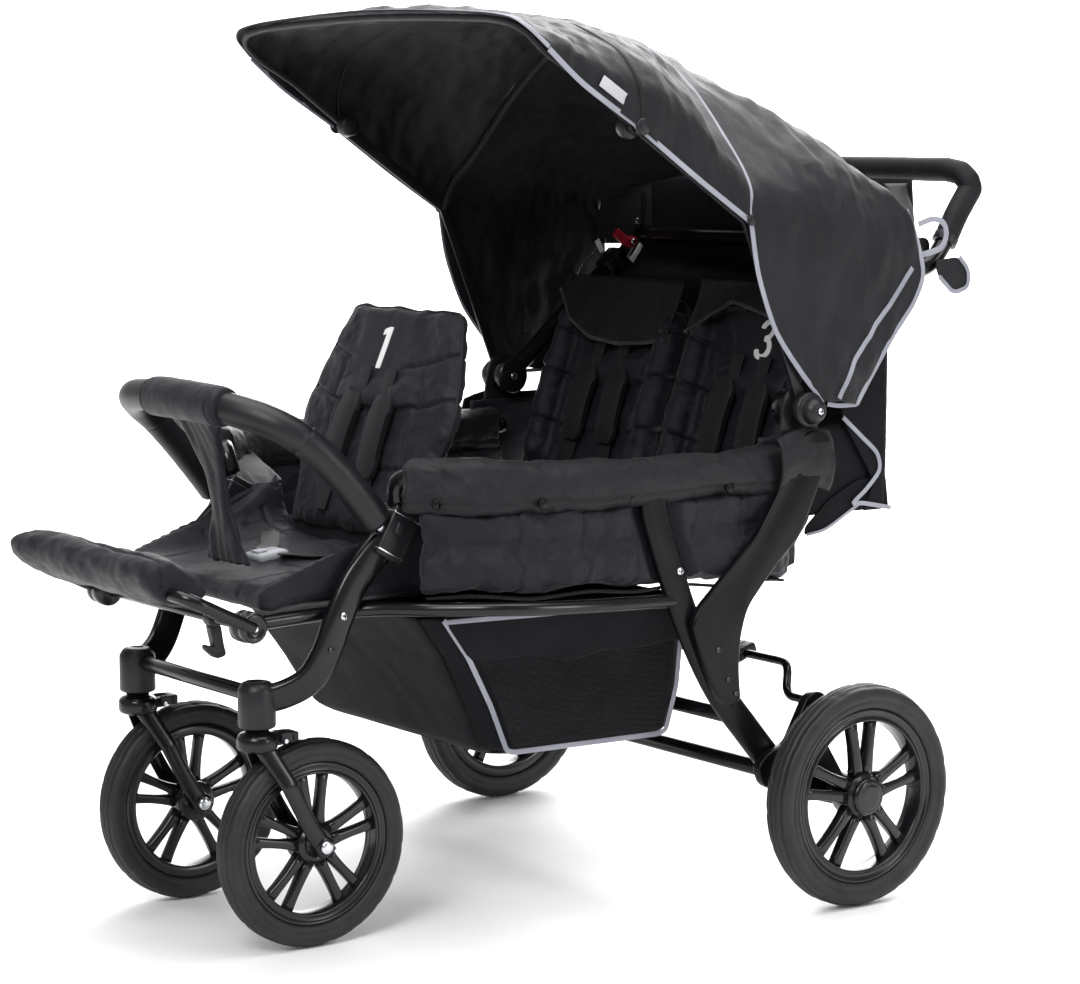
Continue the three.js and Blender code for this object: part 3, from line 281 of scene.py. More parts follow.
def join(name, objs):
    """One object from several, keeping their materials."""
    depsgraph = bpy.context.evaluated_depsgraph_get()
    depsgraph.update()
    bm = bmesh.new()
    materials = []
    for obj in objs:
        done = obj.evaluated_get(depsgraph)
        mesh = bpy.data.meshes.new_from_object(done)
        for m in obj.data.materials:
            if m not in materials:
                materials.append(m)
        slots = [materials.index(m) for m in obj.data.materials]
        start = len(bm.faces)
        bm.from_mesh(mesh)
        bm.faces.ensure_lookup_table()
        for f in bm.faces[start:]:
            f.material_index = slots[f.material_index] if f.material_index < len(slots) else 0
        bpy.data.meshes.remove(mesh)
    mesh = bpy.data.meshes.new(name)
    bm.to_mesh(mesh)
    bm.free()
    for m in materials:
        mesh.materials.append(m)
    obj = bpy.data.objects.new(name, mesh)
    scene.collection.objects.link(obj)
    for old in objs:
        data = old.data
        bpy.data.objects.remove(old)
        bpy.data.meshes.remove(data)
    return obj


def grid_mesh(name, grid, material, thick=0.0, wrap=False):
    """A sheet from rows of points in metres, with an even thickness about it, in millimetres."""
    grid = np.asarray(grid)
    rows, cols = grid.shape[:2]
    faces = []
    for r in range(rows - 1):
        for c in range(cols if wrap else cols - 1):
            d = (c + 1) % cols
            faces.append((r * cols + c, r * cols + d, (r + 1) * cols + d, (r + 1) * cols + c))
    obj = new_mesh(name, grid.reshape(-1, 3), faces, material)
    if thick:
        mod = obj.modifiers.new("thickness", "SOLIDIFY")
        mod.thickness = thick / 1000.0
        mod.offset = 0.0
    return obj


def catmull(rows, count, tension=0.4):
    """Uniform cardinal spline through equal rows, as the CAD source's cloth lines."""
    p = np.asarray(rows, dtype=float)
    p = np.concatenate([[2 * p[0] - p[1]], p, [2 * p[-1] - p[-2]]])
    out = []
    segments = len(p) - 3
    for u in np.linspace(0, segments, count):
        i = min(int(u), segments - 1)
        t = u - i
        p0, p1, p2, p3 = p[i:i + 4]
        m1, m2 = tension * (p2 - p0), tension * (p3 - p1)
        out.append((2 * t**3 - 3 * t**2 + 1) * p1 + (t**3 - 2 * t**2 + t) * m1
                   + (-2 * t**3 + 3 * t**2) * p2 + (t**3 - t**2) * m2)
    return np.asarray(out)


def cloth_grid(lines, rows, columns):
    """Cloth spanned smoothly from one line to the next."""
    across = [catmull(both_halves(line), columns) for line in lines]
    return catmull(np.asarray(across), rows)


def grid_normals(grid):
    du = np.gradient(grid, axis=1)
    dv = np.gradient(grid, axis=0)
    n = np.cross(du, dv)
    length = np.linalg.norm(n, axis=2, keepdims=True)
    return n / np.maximum(length, 1e-9)


# ---- materials ----

def material(name, color, rough, metal=0.0, coat=0.0, sheen=0.0, specular=0.5):
    mat = bpy.data.materials.new(name)
    mat.use_nodes = True
    bsdf = mat.node_tree.nodes["Principled BSDF"]
    bsdf.inputs["Base Color"].default_value = (*color, 1)
    bsdf.inputs["Roughness"].default_value = rough
    bsdf.inputs["Metallic"].default_value = metal
    bsdf.inputs["Coat Weight"].default_value = coat
    bsdf.inputs["Coat Roughness"].default_value = 0.06
    bsdf.inputs["Sheen Weight"].default_value = sheen
    bsdf.inputs["Sheen Roughness"].default_value = 0.45
    bsdf.inputs["Specular IOR Level"].default_value = specular
    return mat, mat.node_tree, bsdf


def add_node(tree, kind, **values):
    node = tree.nodes.new(kind)
    for key, value in values.items():
        if key in node.inputs:
            node.inputs[key].default_value = value
        else:
            setattr(node, key, value)
    return node


def tint(tree, bsdf, low, high, scale):
    """Base colour that drifts between two tones."""
    at = tree.nodes.new("ShaderNodeTexCoord")
    spots = add_node(tree, "ShaderNodeTexNoise", Scale=scale, Detail=3.0)
    ramp = tree.nodes.new("ShaderNodeValToRGB")
    ramp.color_ramp.elements[0].position = 0.35
    ramp.color_ramp.elements[1].position = 0.7
    ramp.color_ramp.elements[0].color = (*low, 1)
    ramp.color_ramp.elements[1].color = (*high, 1)
    tree.links.new(at.outputs["Object"], spots.inputs["Vector"])
    tree.links.new(spots.outputs["Fac"], ramp.inputs["Fac"])
    tree.links.new(ramp.outputs["Color"], bsdf.inputs["Base Color"])
    return at


def bump(tree, bsdf, height, distance, strength=1.0, before=None):
    node = add_node(tree, "ShaderNodeBump", Distance=distance, Strength=strength)
    tree.links.new(height, node.inputs["Height"])
    if before is not None:
        tree.links.new(before.outputs["Normal"], node.inputs["Normal"])
    tree.links.new(node.outputs["Normal"], bsdf.inputs["Normal"])
    return node


def weave(tree, at, pitch):
    """Height of a plain weave, from waves across and along, in object space."""
    total = None
    for direction in ("X", "Y", "Z"):
        wave = add_node(tree, "ShaderNodeTexWave", Scale=1.0 / pitch / 3.14, Distortion=0.6)
        wave.bands_direction = direction
        tree.links.new(at.outputs["Object"], wave.inputs["Vector"])
        if total is None:
            total = wave.outputs["Fac"]
        else:
            add = add_node(tree, "ShaderNodeMath", operation="ADD")
            tree.links.new(total, add.inputs[0])
            tree.links.new(wave.outputs["Fac"], add.inputs[1])
            total = add.outputs[0]
    return total


def fabric(name, low, high, crease=0.0022, sheen=0.35, rough=0.72, pitch=0.0011, specular=0.24):
    mat, tree, bsdf = material(name, low, rough, sheen=sheen, specular=specular)
    at = tint(tree, bsdf, low, high, 9.0)
    folds = add_node(tree, "ShaderNodeTexNoise", Scale=22.0, Detail=4.0, Roughness=0.55, Distortion=0.5)
    tree.links.new(at.outputs["Object"], folds.inputs["Vector"])
    first = bump(tree, bsdf, folds.outputs["Fac"], crease, 0.55)
    bump(tree, bsdf, weave(tree, at, pitch), 0.00022, 0.5, first)
    return mat


def gloss_steel():
    mat, tree, bsdf = material("gloss_black_paint", (0.004, 0.004, 0.005), 0.2, coat=0.12, specular=0.3)
    at = tint(tree, bsdf, (0.0028, 0.0028, 0.0036), (0.0058, 0.0058, 0.0072), 12.0)
    grain = add_node(tree, "ShaderNodeTexNoise", Scale=900.0, Detail=2.0)
    tree.links.new(at.outputs["Object"], grain.inputs["Vector"])
    bump(tree, bsdf, grain.outputs["Fac"], 0.00004, 0.35)
    scuffs = add_node(tree, "ShaderNodeTexNoise", Scale=35.0, Detail=6.0)
    tree.links.new(at.outputs["Object"], scuffs.inputs["Vector"])
    wear = add_node(tree, "ShaderNodeMapRange")
    wear.inputs["To Min"].default_value = 0.14
    wear.inputs["To Max"].default_value = 0.32
    tree.links.new(scuffs.outputs["Fac"], wear.inputs["Value"])
    tree.links.new(wear.outputs["Result"], bsdf.inputs["Roughness"])
    return mat


def moulded(name, low, high, rough, coat=0.0, grain_size=1400.0, depth=0.00006, specular=0.34):
    mat, tree, bsdf = material(name, low, rough, coat=coat, specular=specular)
    at = tint(tree, bsdf, low, high, 30.0)
    grain = add_node(tree, "ShaderNodeTexNoise", Scale=grain_size, Detail=3.0)
    tree.links.new(at.outputs["Object"], grain.inputs["Vector"])
    bump(tree, bsdf, grain.outputs["Fac"], depth, 0.6)
    return mat


def metal(name, color, rough):
    mat, tree, bsdf = material(name, color, rough, metal=1.0)
    at = tint(tree, bsdf, color, tuple(min(1.0, c * 1.25) for c in color), 60.0)
    grain = add_node(tree, "ShaderNodeTexNoise", Scale=700.0, Detail=4.0, Distortion=0.4)
    tree.links.new(at.outputs["Object"], grain.inputs["Vector"])
    bump(tree, bsdf, grain.outputs["Fac"], 0.00005, 0.5)
    return mat


PAINT = gloss_steel()
PLASTIC = moulded("moulded_black", (0.0065, 0.0065, 0.0080), (0.011, 0.011, 0.0135), 0.40)
GLOSS = moulded("gloss_black_moulding", (0.0045, 0.0045, 0.0058), (0.008, 0.008, 0.010), 0.24, coat=0.18)
RUBBER = moulded("tyre_rubber", (0.011, 0.011, 0.0125), (0.019, 0.019, 0.021), 0.52, grain_size=600.0,
                 depth=0.00012)
FOAM = moulded("handle_foam_skin", (0.0050, 0.0050, 0.0064), (0.0090, 0.0090, 0.0110), 0.60, grain_size=420.0,
               depth=0.0003, specular=0.22)
# A darker, duller copy of the frame paint: painted shade on the flat faces of the struts, rear legs and axle
# plates, and on the snaps, which the frame paint shows too bright
SHADED_PAINT = moulded("painted_shade_black_plate", (0.0026, 0.0026, 0.0033), (0.0046, 0.0046, 0.0058), 0.30, coat=0.03,
                specular=0.17)
BOLT = metal("dark_zinc", (0.07, 0.07, 0.08), 0.3)
GRIP = moulded("grab_foam_skin", (0.0055, 0.0056, 0.0072), (0.0095, 0.0097, 0.0120), 0.42, grain_size=520.0,
               depth=0.00022)
CHROME = metal("zinc_steel", (0.62, 0.63, 0.66), 0.24)
RED = moulded("red_moulding", (0.30, 0.012, 0.022), (0.42, 0.02, 0.035), 0.34)
CLOTH = fabric("navy_black_cloth", (0.0042, 0.0048, 0.0082), (0.0078, 0.0087, 0.0136), crease=0.0038, sheen=0.07,
               rough=0.5)
HOOD_CLOTH = fabric("hood_cloth", (0.0050, 0.0053, 0.0070), (0.0085, 0.0090, 0.0115), crease=0.0042, sheen=0.05,
                    rough=0.5)
SLEEVE = fabric("black_padding", (0.0050, 0.0052, 0.0070), (0.0085, 0.0088, 0.0110), crease=0.0026, sheen=0.05,
                rough=0.46)
LINING = fabric("basket_cloth", (0.0036, 0.0039, 0.0052), (0.0066, 0.0070, 0.0092), crease=0.0030, sheen=0.01,
                rough=0.7, pitch=0.0022, specular=0.12)
TAPE = fabric("binding_tape", (0.24, 0.245, 0.29), (0.34, 0.345, 0.39), crease=0.0003, sheen=0.2, rough=0.6,
              pitch=0.0009)
WEB = fabric("webbing", (0.0055, 0.0058, 0.0075), (0.0105, 0.0110, 0.0135), crease=0.0003, sheen=0.1, rough=0.5,
             pitch=0.0016)
PRINT = moulded("white_print", (0.72, 0.72, 0.73), (0.82, 0.82, 0.83), 0.5)
BUCKLE = moulded("light_grey_moulding", (0.33, 0.34, 0.37), (0.42, 0.43, 0.46), 0.38)
TAG = fabric("pale_tag", (0.42, 0.42, 0.45), (0.5, 0.5, 0.53), crease=0.0002)


# ---- hard parts ----

def piece(obj, body, *nodes, slot=None):
    """Ties an object to the body that it moves with and hides the nodes that it replaces; the slot is not used.
    """
    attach(obj, body)
    if nodes:
        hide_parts(*nodes)
    return obj


def cloth(obj, body, *nodes):
    return piece(obj, body, *nodes, slot="navy_black_fabric")


def steel(obj, body, *nodes):
    return piece(obj, body, *nodes, slot="gloss_black_steel")


def mould(obj, body, *nodes):
    return piece(obj, body, *nodes, slot="black_plastic")


def lining(obj, body, *nodes):
    return piece(obj, body, *nodes, slot="lining_fabric")


def between(obj, start, end):
    """Fixes a soft piece's transform into its mesh; start and end, in millimetres, have no effect."""
    tuple(place(start))
    tuple(place(end))
    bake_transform(obj)


def slack(obj):
    """Cloth of the hood's rear part, with its transform fixed into its mesh."""
    between(obj, (0, 194, 900), (0, -100, 900))


# Shared places in side view, as y and z: the hub that the handle and the hood turn on, the leg rest's bar,
# the hood's knob and the front axle
HUB = (-47, 665)
REST = (-808, 426)
KNOB = (-328, 1038)
FRONT_AXLE = (-700, 134)


def screw(name, at, direction, radius, depth=3.2, finish=None):
    """Round head screw with a cross recess, on a face looking along X."""
    s = direction
    profile = [(0, depth), (radius * 0.30, depth), (radius * 0.7, depth * 0.86),
               (radius * 0.96, depth * 0.45), (radius, 0.4), (radius, -0.6), (0, -0.6)]
    head = lathe(name, profile, finish or CHROME, at, "X", 28, s)
    slots = [block(name + "_slot%d" % k, (0.9, radius * (1.1 if k else 0.28), radius * (0.28 if k else 1.1)),
                   (at[0] + s * depth, at[1], at[2]), PLASTIC, 0, 0.1) for k in (0, 1)]
    piece(join(name, [head] + slots), "chassis", slot="steel_core")


# Camera, floor and light
cam_data = bpy.data.cameras.new("camera")
cam = bpy.data.objects.new("camera", cam_data)
scene.collection.objects.link(cam)
scene.camera = cam
cam_data.lens = 101.31
cam_data.sensor_width = 36.0
cam_data.sensor_fit = "HORIZONTAL"
cam_data.clip_end = 60
HEADING = math.radians(53.815)
DOWN = math.radians(6.967)
cam.location = (3.3823, -2.7005 + SHIFT / 1000.0, 1.0456)
cam.rotation_euler = (math.radians(90) - DOWN, 0, HEADING)

floor_mat, floor_tree, floor_bsdf = material("studio_floor", (0.9, 0.9, 0.9), 0.6)
tint(floor_tree, floor_bsdf, (0.86, 0.86, 0.86), (0.9, 0.9, 0.9), 3.0)
# height and distance of the floor's rows: flat under the stroller, then up behind it
FLOOR = [(0.0, -14.0), (0.0, -6.0), (0.0, -2.0), (0.0, 1.0), (0.0, 3.0), (0.0, 4.0), (0.12, 5.0), (0.6, 5.9),
         (1.6, 6.6), (3.2, 7.0), (12.0, 7.2)]
away = np.array([-math.sin(HEADING), math.cos(HEADING)])
aside = np.array([math.cos(HEADING), math.sin(HEADING)])
floor_rows = [[(*(away * d + aside * w), z) for w in (-14, 14)] for z, d in FLOOR]
floor = grid_mesh("studio_floor", floor_rows, floor_mat)
subdivide(floor, 3)

world = bpy.data.worlds.new("studio")
scene.world = world
world.use_nodes = True
sky = world.node_tree.nodes["Background"]
sky.inputs["Color"].default_value = (1, 1, 1, 1)
sky.inputs["Strength"].default_value = 0.34


def area_light(name, at, target, size, power, size_y=None):
    data = bpy.data.lights.new(name, "AREA")
    data.shape = "RECTANGLE"
    data.size = size
    data.size_y = size_y or size
    data.energy = power
    lamp = bpy.data.objects.new(name, data)
    lamp.location = at
    direction = Vector(target) - Vector(at)
    lamp.rotation_euler = direction.to_track_quat("-Z", "Y").to_euler()
    scene.collection.objects.link(lamp)


area_light("backdrop", (-2.0, 4.2, 4.2), (-4.6, 4.8, 0.8), 3.0, 420)
area_light("backdrop_low", (-3.0, 2.6, 3.4), (-4.6, 4.0, 0.0), 2.6, 200)
area_light("key", (2.2, -3.0, 3.4), (0, 0, 0.6), 1.8, 120)
area_light("over", (0.1, 0.2, 4.4), (0, 0, 0.0), 4.6, 260)
area_light("rim", (-2.6, 2.4, 2.2), (0, 0, 0.7), 1.4, 40)
area_light("side", (3.6, 1.6, 1.4), (0.2, 0.1, 0.5), 0.8, 34, 1.8)

# Frame tubes
front_leg_route = [[202, -617, 516], [202, -628, 507], [201, -661, 472], [200, -685, 427], [196, -702, 383],
                   [187, -722, 350], [171, -748, 333], [156, -775, 326]]
rail_route = [[324, -60, 590], [324, -300, 590], [322, -420, 593], [296, -520, 600], [248, -585, 604],
              [213, -603, 594], [203, -600, 566]]
seat_tube_route = [[345.8, -255, 428], [345.8, -440, 436], [328, -525, 440], [270, -590, 438],
                   [205, -636, 434], [181, -668, 431], [180, -742, 430], [178, -800, 427]]
rear_leg_route = [[345.8, -304, 600], [345.8, -299, 549], [345.8, -272, 470], [345.8, -241, 395],
                  [345.8, -190, 304], [345.8, -136, 239], [345.8, -84, 180]]
strut_outline = [[-72, 628], [-80, 600], [-142, 505], [-240, 418], [-251, 398], [-238, 362], [-216, 312],
                 [-202, 290], [-184, 282], [-168, 290], [-172, 330], [-170, 372], [-158, 412], [-112, 462],
                 [-68, 500], [-24, 590], [-14, 618], [-22, 634], [-47, 640]]
bracket_outline = [[-78, 668], [-70, 692], [-47, 701], [-24, 692], [-14, 668], [-18, 610], [-30, 578],
                   [-66, 576], [-84, 590], [-84, 620]]
axle_outline = [[-138, 196], [-118, 214], [-86, 222], [-52, 282], [-35, 288], [-20, 282], [-18, 264],
                [-30, 236], [16, 164], [16, 136], [0, 128], [-96, 156], [-128, 170]]


def rounded(outline, radius):
    """Closed outline with its corners rounded off."""
    p = np.asarray(outline, dtype=float)
    return [q for i in range(len(p)) for q in corner(p[i - 1], p[i], p[(i + 1) % len(p)], radius, 0.48, 6)]


SIDES = (("left", 1), ("right", -1))


for tag, s in SIDES:
    flip = np.array([s, 1, 1])
    leg = sweep("front_leg_" + tag + "_tube", centripetal(front_leg_route, 60) * flip, 10, 20, PAINT, 40, 0.75,
                first=(1, 0, 0))
    steel(leg, "chassis", "front_leg_" + tag)
    rail = sweep("side_rail_" + tag + "_tube", centripetal(rail_route, 80) * flip, 12, 12, PAINT, 28,
                 first=(0, 0, 1))
    steel(rail, "chassis", "side_rail_" + tag)
    rear = sweep("rear_leg_" + tag + "_tube", centripetal(rear_leg_route, 60) * flip, 9.5, 20, SHADED_PAINT, 40, 0.75)
    axle_plate = plate("axle_plate_" + tag, rounded(axle_outline, 9), 353, 15, SHADED_PAINT, 2.4, s)
    stub = rod("stub_" + tag, (s * 366, 0, 150), (s * 386, 0, 150), 16, PLASTIC)
    spindle = rod("spindle_" + tag, (s * 366, 0, 150), (s * 425, 0, 150), 6, CHROME)
    steel(join("rear_leg_" + tag + "_with_axle", [rear, axle_plate, stub, spindle]), "chassis", "rear_leg_" + tag)
    strut = plate("strut_plate_" + tag, rounded(strut_outline, 16), 355.8, 13, SHADED_PAINT, 3.2, s)
    boss = rod("strut_boss_" + tag, (s * 341.8, -46, 601), (s * 358, -46, 601), 12, PLASTIC)
    steel(join("side_strut_" + tag + "_plate", [strut, boss]), "chassis", "side_strut_" + tag)
    bracket = plate("bracket_plate_" + tag, rounded(bracket_outline, 12), 336.3, 5, PLASTIC, 1.4, s)
    pin = rod("hub_pin_" + tag, (s * 309, *HUB), (s * 352, *HUB), 6, CHROME)
    profile = [(0, 0.2), (20, 0.2), (23.3, 1.6), (24, 4), (24, 9), (23, 11.6), (20.6, 12.8), (18.6, 13.2),
               (18, 14.4), (17.4, 20), (15.6, 24.5), (11, 29.5), (6.4, 32.2), (6.0, 31.6), (0, 31.4)]
    knob = lathe("hub_knob_" + tag, profile, PLASTIC, (s * 350.4, *HUB), "X", 64, s)
    mould(join("hinge_bracket_" + tag + "_knob", [bracket, pin, knob]), "chassis", "hinge_bracket_" + tag)
    screw("hub_screw_" + tag, (s * (350.4 + 31.4), *HUB), s, 4.6, depth=2.2)
    for k, (y, z, r) in enumerate([(-46, 601, 7.5), (-208, 361, 4.4), (-191, 320, 3.8), (-178, 300, 3.8)]):
        screw("strut_bolt%d_%s" % (k, tag), (s * 368.8, y, z), s, r, finish=BOLT)
    for k, (y, z) in enumerate([(-35, 272), (-100, 184)]):
        screw("axle_bolt%d_%s" % (k, tag), (s * 368, y, z), s, 4.6, finish=BOLT)
    screw("rear_leg_bolt_" + tag, (s * 355.1, -262, 468), s, 5.2)
    screw("front_leg_bolt_" + tag, (s * 211.1, -684, 431), s, 5.4)
    screw("front_leg_stud_" + tag, (s * 207.6, -701, 389), s, 4.4, finish=BOLT)

# Seat tubes with the discs and bar that the leg rest turns on
tubes = []
for tag, s in SIDES:
    flip = np.array([s, 1, 1])
    path = centripetal(seat_tube_route, 90) * flip
    tubes.append(sweep("seat_tube_" + tag, path, 9, 9, PAINT, 28, first=(0, 0, 1)))
    profile = [(0, 170), (17.5, 170), (20, 172.2), (20, 185.8), (17.5, 188), (0, 188)]
    tubes.append(lathe("rest_disc_" + tag, profile, GLOSS, (0, *REST), "X", 48, s))
tubes.append(rod("pivot_bar", (-172, *REST), (172, *REST), 6, PAINT))
steel(join("seat_tube_frame_tubes", tubes), "chassis", "seat_tube_frame")
for name, y, z, r in (("rear_cross_tube_upper", -158, 262, 10), ("rear_cross_tube_lower", -98, 183, 11)):
    steel(rod(name + "_bar", (-340, y, z), (340, y, z), r, PAINT), "chassis", name)
steel(rod("front_cross_tube_bar", (-140, -778, 332), (140, -778, 332), 10, PAINT), "chassis", "front_cross_tube")


# Wheels
def wheel(tag, s, which, x, y, radius, width, body):
    """Tyre, rim with five double spokes and hub, in millimetres."""
    half = width / 2
    bead = radius * 0.79

    def tread(r, h, a):
        # curved grooves that run from the crown over the shoulders, and fine raised arcs on the walls
        across = abs(h) / half
        sweep_back = a * 19 + 2.6 * across + (0.5 if h > 0 else 0.0)
        wave = 0.5 + 0.5 * math.cos(sweep_back)
        if r > radius * 0.955:
            r -= 1.3 * max(0.0, (wave - 0.9) / 0.1) * min(1.0, across * 3)
        elif r > radius * 0.855:
            lean = a * 19 + (r / radius - 0.9) * 26
            h *= 1 + 0.035 * max(0.0, (0.5 + 0.5 * math.cos(lean) - 0.9) / 0.1)
        return r, h

    outer = [(bead, -half * 0.72), (bead + 2, -half * 0.80), (radius * 0.845, -half * 0.93),
             (radius * 0.86, -half * 0.86), (radius * 0.873, -half * 0.97), (radius * 0.905, -half),
             (radius * 0.93, -half * 0.97), (radius * 0.945, -half * 0.9), (radius * 0.965, -half * 0.84),
             (radius * 0.984, -half * 0.62), (radius * 0.972, -half * 0.57), (radius * 0.992, -half * 0.48),
             (radius, -half * 0.3), (radius * 0.988, -half * 0.14), (radius, -half * 0.05)]
    profile = outer + [(r, -h) for r, h in reversed(outer)] + [outer[0]]
    tyre = lathe("%s_tyre_%s_rubber" % (which, tag), profile, RUBBER, (s * x, y, radius), "X", 228, s, tread)
    piece(tyre, body, "%s_tyre_%s" % (which, tag), slot="tyre_black")
    bead -= 0.35
    low = bead - radius * 0.115
    hub = radius * 0.2
    profile = [(low, -half * 0.62), (low + 2, -half * 0.70), (bead - 1.5, -half * 0.70),
               (bead, -half * 0.62), (bead, half * 0.62), (bead - 1, half * 0.70), (bead - 4.6, half * 0.70),
               (bead - 5.4, half * 0.60), (low + 4.2, half * 0.60), (low + 3.2, half * 0.70),
               (low + 1, half * 0.70), (low, half * 0.6), (low - 0.6, 0), (low, -half * 0.62)]
    ring = lathe("ring", profile, GLOSS, (s * x, y, radius), "X", 96, s)
    bits = [ring]
    for i in range(5):
        turn = math.radians(i / 5 * 360)
        for k in (-1, 1):
            split = k * 0.46 * hub
            rings = []
            for t in np.linspace(0, 1, 7):
                r = hub - 3 + (low + 2 - hub + 3) * t
                bow = 1 - 0.22 * math.sin(math.pi * t)
                off = split * (0.6 + 0.75 * t ** 1.3)
                wide = radius * (0.060 * bow)
                lift = half * (0.6 - 0.18 * t) + 0.8 * math.sin(math.pi * t)
                drop = -half * (0.25 - 0.05 * t)
                sect = []
                for u, v in oval(1, 1, 16, 0.55):
                    a = off + wide * u
                    h = (lift + drop) / 2 + (lift - drop) / 2 * v
                    yy = r * math.cos(turn) - a * math.sin(turn)
                    zz = r * math.sin(turn) + a * math.cos(turn)
                    sect.append((s * x + s * h, y - zz, radius + yy))
                rings.append(place(sect))
            bits.append(rings_mesh("spoke", rings, GLOSS))
    profile = [(7, -half * 0.95), (hub - 1.5, -half * 0.95), (hub, -half * 0.88), (hub, half * 0.5),
               (hub * 0.95, half * 0.6), (hub * 0.84, half * 0.72), (hub * 0.8, half * 0.79),
               (hub * 0.62, half * 0.8), (hub * 0.56, half * 0.7), (7, half * 0.7)]
    bits.append(lathe("hub", profile, GLOSS, (s * x, y, radius), "X", 48, s))
    if which == "rear":
        r = radius * 0.17
        start = half * 0.8 - 1
        profile = [(0, start), (r - 1, start), (r, start + 1), (r, start + 4.6), (r - 1.4, start + 6.6),
                   (r - 4, start + 8.2), (r - 6.4, start + 8.9), (r - 7.4, start + 8.4), (r - 8.4, start + 8.9),
                   (r - 14, start + 9), (0, start + 9)]
        bits.append(lathe("cap", profile, GLOSS, (s * x, y, radius), "X", 64, s))
    piece(join("%s_rim_%s_moulding" % (which, tag), bits), body, "%s_rim_%s" % (which, tag),
          slot="gloss_black_plastic")


for tag, s in SIDES:
    wheel(tag, s, "rear", x=411.6, y=0, radius=150, width=44.5, body="rear_wheel_" + tag)
    wheel(tag, s, "front", x=154, y=-700, radius=134, width=40, body="front_wheel_" + tag)

# Casters
blade_route = [[0, -776, 268], [0, -768, 252], [0, -752, 222], [0, -730, 180], [0, -712, 150],
               [0, -700, 134], [0, -694, 124]]
for tag, s in SIDES:
    cx = s * 154
    profile = [(8.6, 291), (20, 291), (22.8, 292.4), (24, 295), (24, 338), (23.2, 341.6), (20.6, 345.8),
               (18.4, 348.6), (15.6, 350), (9, 350.6), (8.2, 349.4), (0, 349.2)]
    housing = lathe("caster_housing_%s_cap" % tag, profile, PLASTIC, (cx, -778, 0), "Z", 56)
    mould(housing, "chassis", "caster_housing_" + tag)
    bits = []
    for side in (-1, 1):
        path = [(cx + side * min(14 + i * 1.25, 31), y, z) for i,
                (_, y, z) in enumerate(centripetal(blade_route, 40))]
        bits.append(sweep("blade", path, 5, 13, PAINT, 28, 0.8,
                          scale=[1 - 0.16 * math.sin(math.pi * t) for t in np.linspace(0, 1, 41)]))
        bits.append(lathe("blade_eye", [(0, -5), (12.4, -5), (13.4, -3.8), (13.4, 3.8), (12.4, 5), (0, 5)], PAINT,
                          (cx + side * 31, *FRONT_AXLE), "X", 40, 1))
        bits.append(lathe("axle_head", [(0, 6), (4.5, 6), (7.6, 5.2), (8.8, 3.2), (9, 0), (0, 0)], CHROME,
                          (cx + side * 36, *FRONT_AXLE), "X", 32, side))
    bits.append(rod("stem", (cx, -778, 262), (cx, -778, 338), 8, CHROME))
    profile = [(0, 262), (21, 262), (23.6, 263.2), (25.6, 266), (26, 269), (26, 277), (25, 280.6),
               (21.4, 284.2), (15.6, 286), (15, 290.4), (0, 290.4)]
    bits.append(lathe("crown", profile, PAINT, (cx, -778, 0), "Z", 48))
    bits.append(block("lock_seat", (15.4, 20, 13), (cx, -750, 273), PLASTIC, 0, 1.5))
    bits.append(rod("axle_bar", (cx - 36, *FRONT_AXLE), (cx + 36, *FRONT_AXLE), 6, CHROME))
    steel(join("caster_fork_%s_blades" % tag, bits), "caster_" + tag, "caster_fork_" + tag)
    lock = [rod("lock_pin", (cx - 19, -746, 273), (cx + 19, -746, 273), 3, CHROME)]
    for side in (-1, 1):
        lock.append(block("lock_cheek", (5, 20, 13), (cx + side * 11, -740, 276), PLASTIC, 0, 1.6))
    lock.append(block("lock_tab", (27, 12, 13), (cx, -730, 276), PLASTIC, 0, 2.6))
    mould(join("caster_lock_%s_rocker" % tag, lock), "swivel_lock_" + tag, "caster_lock_" + tag)

# Brake bar and pedal
brake_half = [[362, -35, 272], [312, -35, 272], [302, -33, 280], [294, -24, 304], [284, -19, 312],
              [270, -18, 313], [0, -18, 313]]
steel(sweep("brake_bar_rod", soften(both_halves(brake_half), 160, 12), 6, 6, PAINT, 24, first=(0, 0, 1)), "brake",
      "brake_bar")
pedal = [block("pad", (400, 36, 17), (0, -16, 314), PLASTIC, 20, 4)]
for k in range(-9, 10):
    pedal.append(block("rib", (3, 30, 1.2), (k * 20, -18.9, 322.2), PLASTIC, 20, 0.4))
mould(join("brake_pedal_pad", pedal), "brake", "brake_pedal")

# Handle loop
handle_side = centripetal([(323, y, z) for y, z in [[-47, 665], [40, 741], [120, 808], [165, 838], [200, 851],
                                                     [222, 873], [250, 918], [275, 952]]], 60)
bend = [(320, 273, 964), (310, 269, 974), (286, 266, 978)]
handle_line = both_halves([tuple(p) for p in handle_side] + bend + [(0, 266, 978)])
handle_path = soften(handle_line, 420, 10)
bits = [sweep("loop", handle_path, 12.5, 12.5, PAINT, 32, first=(1, 0, 0)),
        rod("cross", (-318, 193, 874), (318, 193, 874), 12.5, PAINT)]
for tag, s in SIDES:
    profile = [(6.4, -12), (23.6, -12), (26, -10), (26, 10), (23.6, 12), (18, 12), (17.4, 11.2), (6.4, 11.2)]
    bits.append(lathe("disc", profile, GLOSS, (s * 323, *HUB), "X", 56, s))
steel(join("handle_tube_loop", bits), "handle", "handle_tube")
foam_side = [tuple(p) for p in handle_side if p[1] > 225]
foam_line = even(both_halves(foam_side + bend + [(0, 266, 978)]), 460)
foam_path = soften(foam_line, 460, 10)
steps = np.linspace(0, 1, len(foam_path))
swell = [0.985 + 0.02 * noise.noise(Vector((t * 46, 3.1, 0))) for t in steps]
for k, t in enumerate(steps):
    end = min(t, 1 - t) * 900
    if end < 5:
        swell[k] *= 0.86 + 0.14 * (end / 5) ** 0.5
foam = [sweep("foam", foam_path, 17, 17, FOAM, 36, first=(1, 0, 0), scale=swell)]
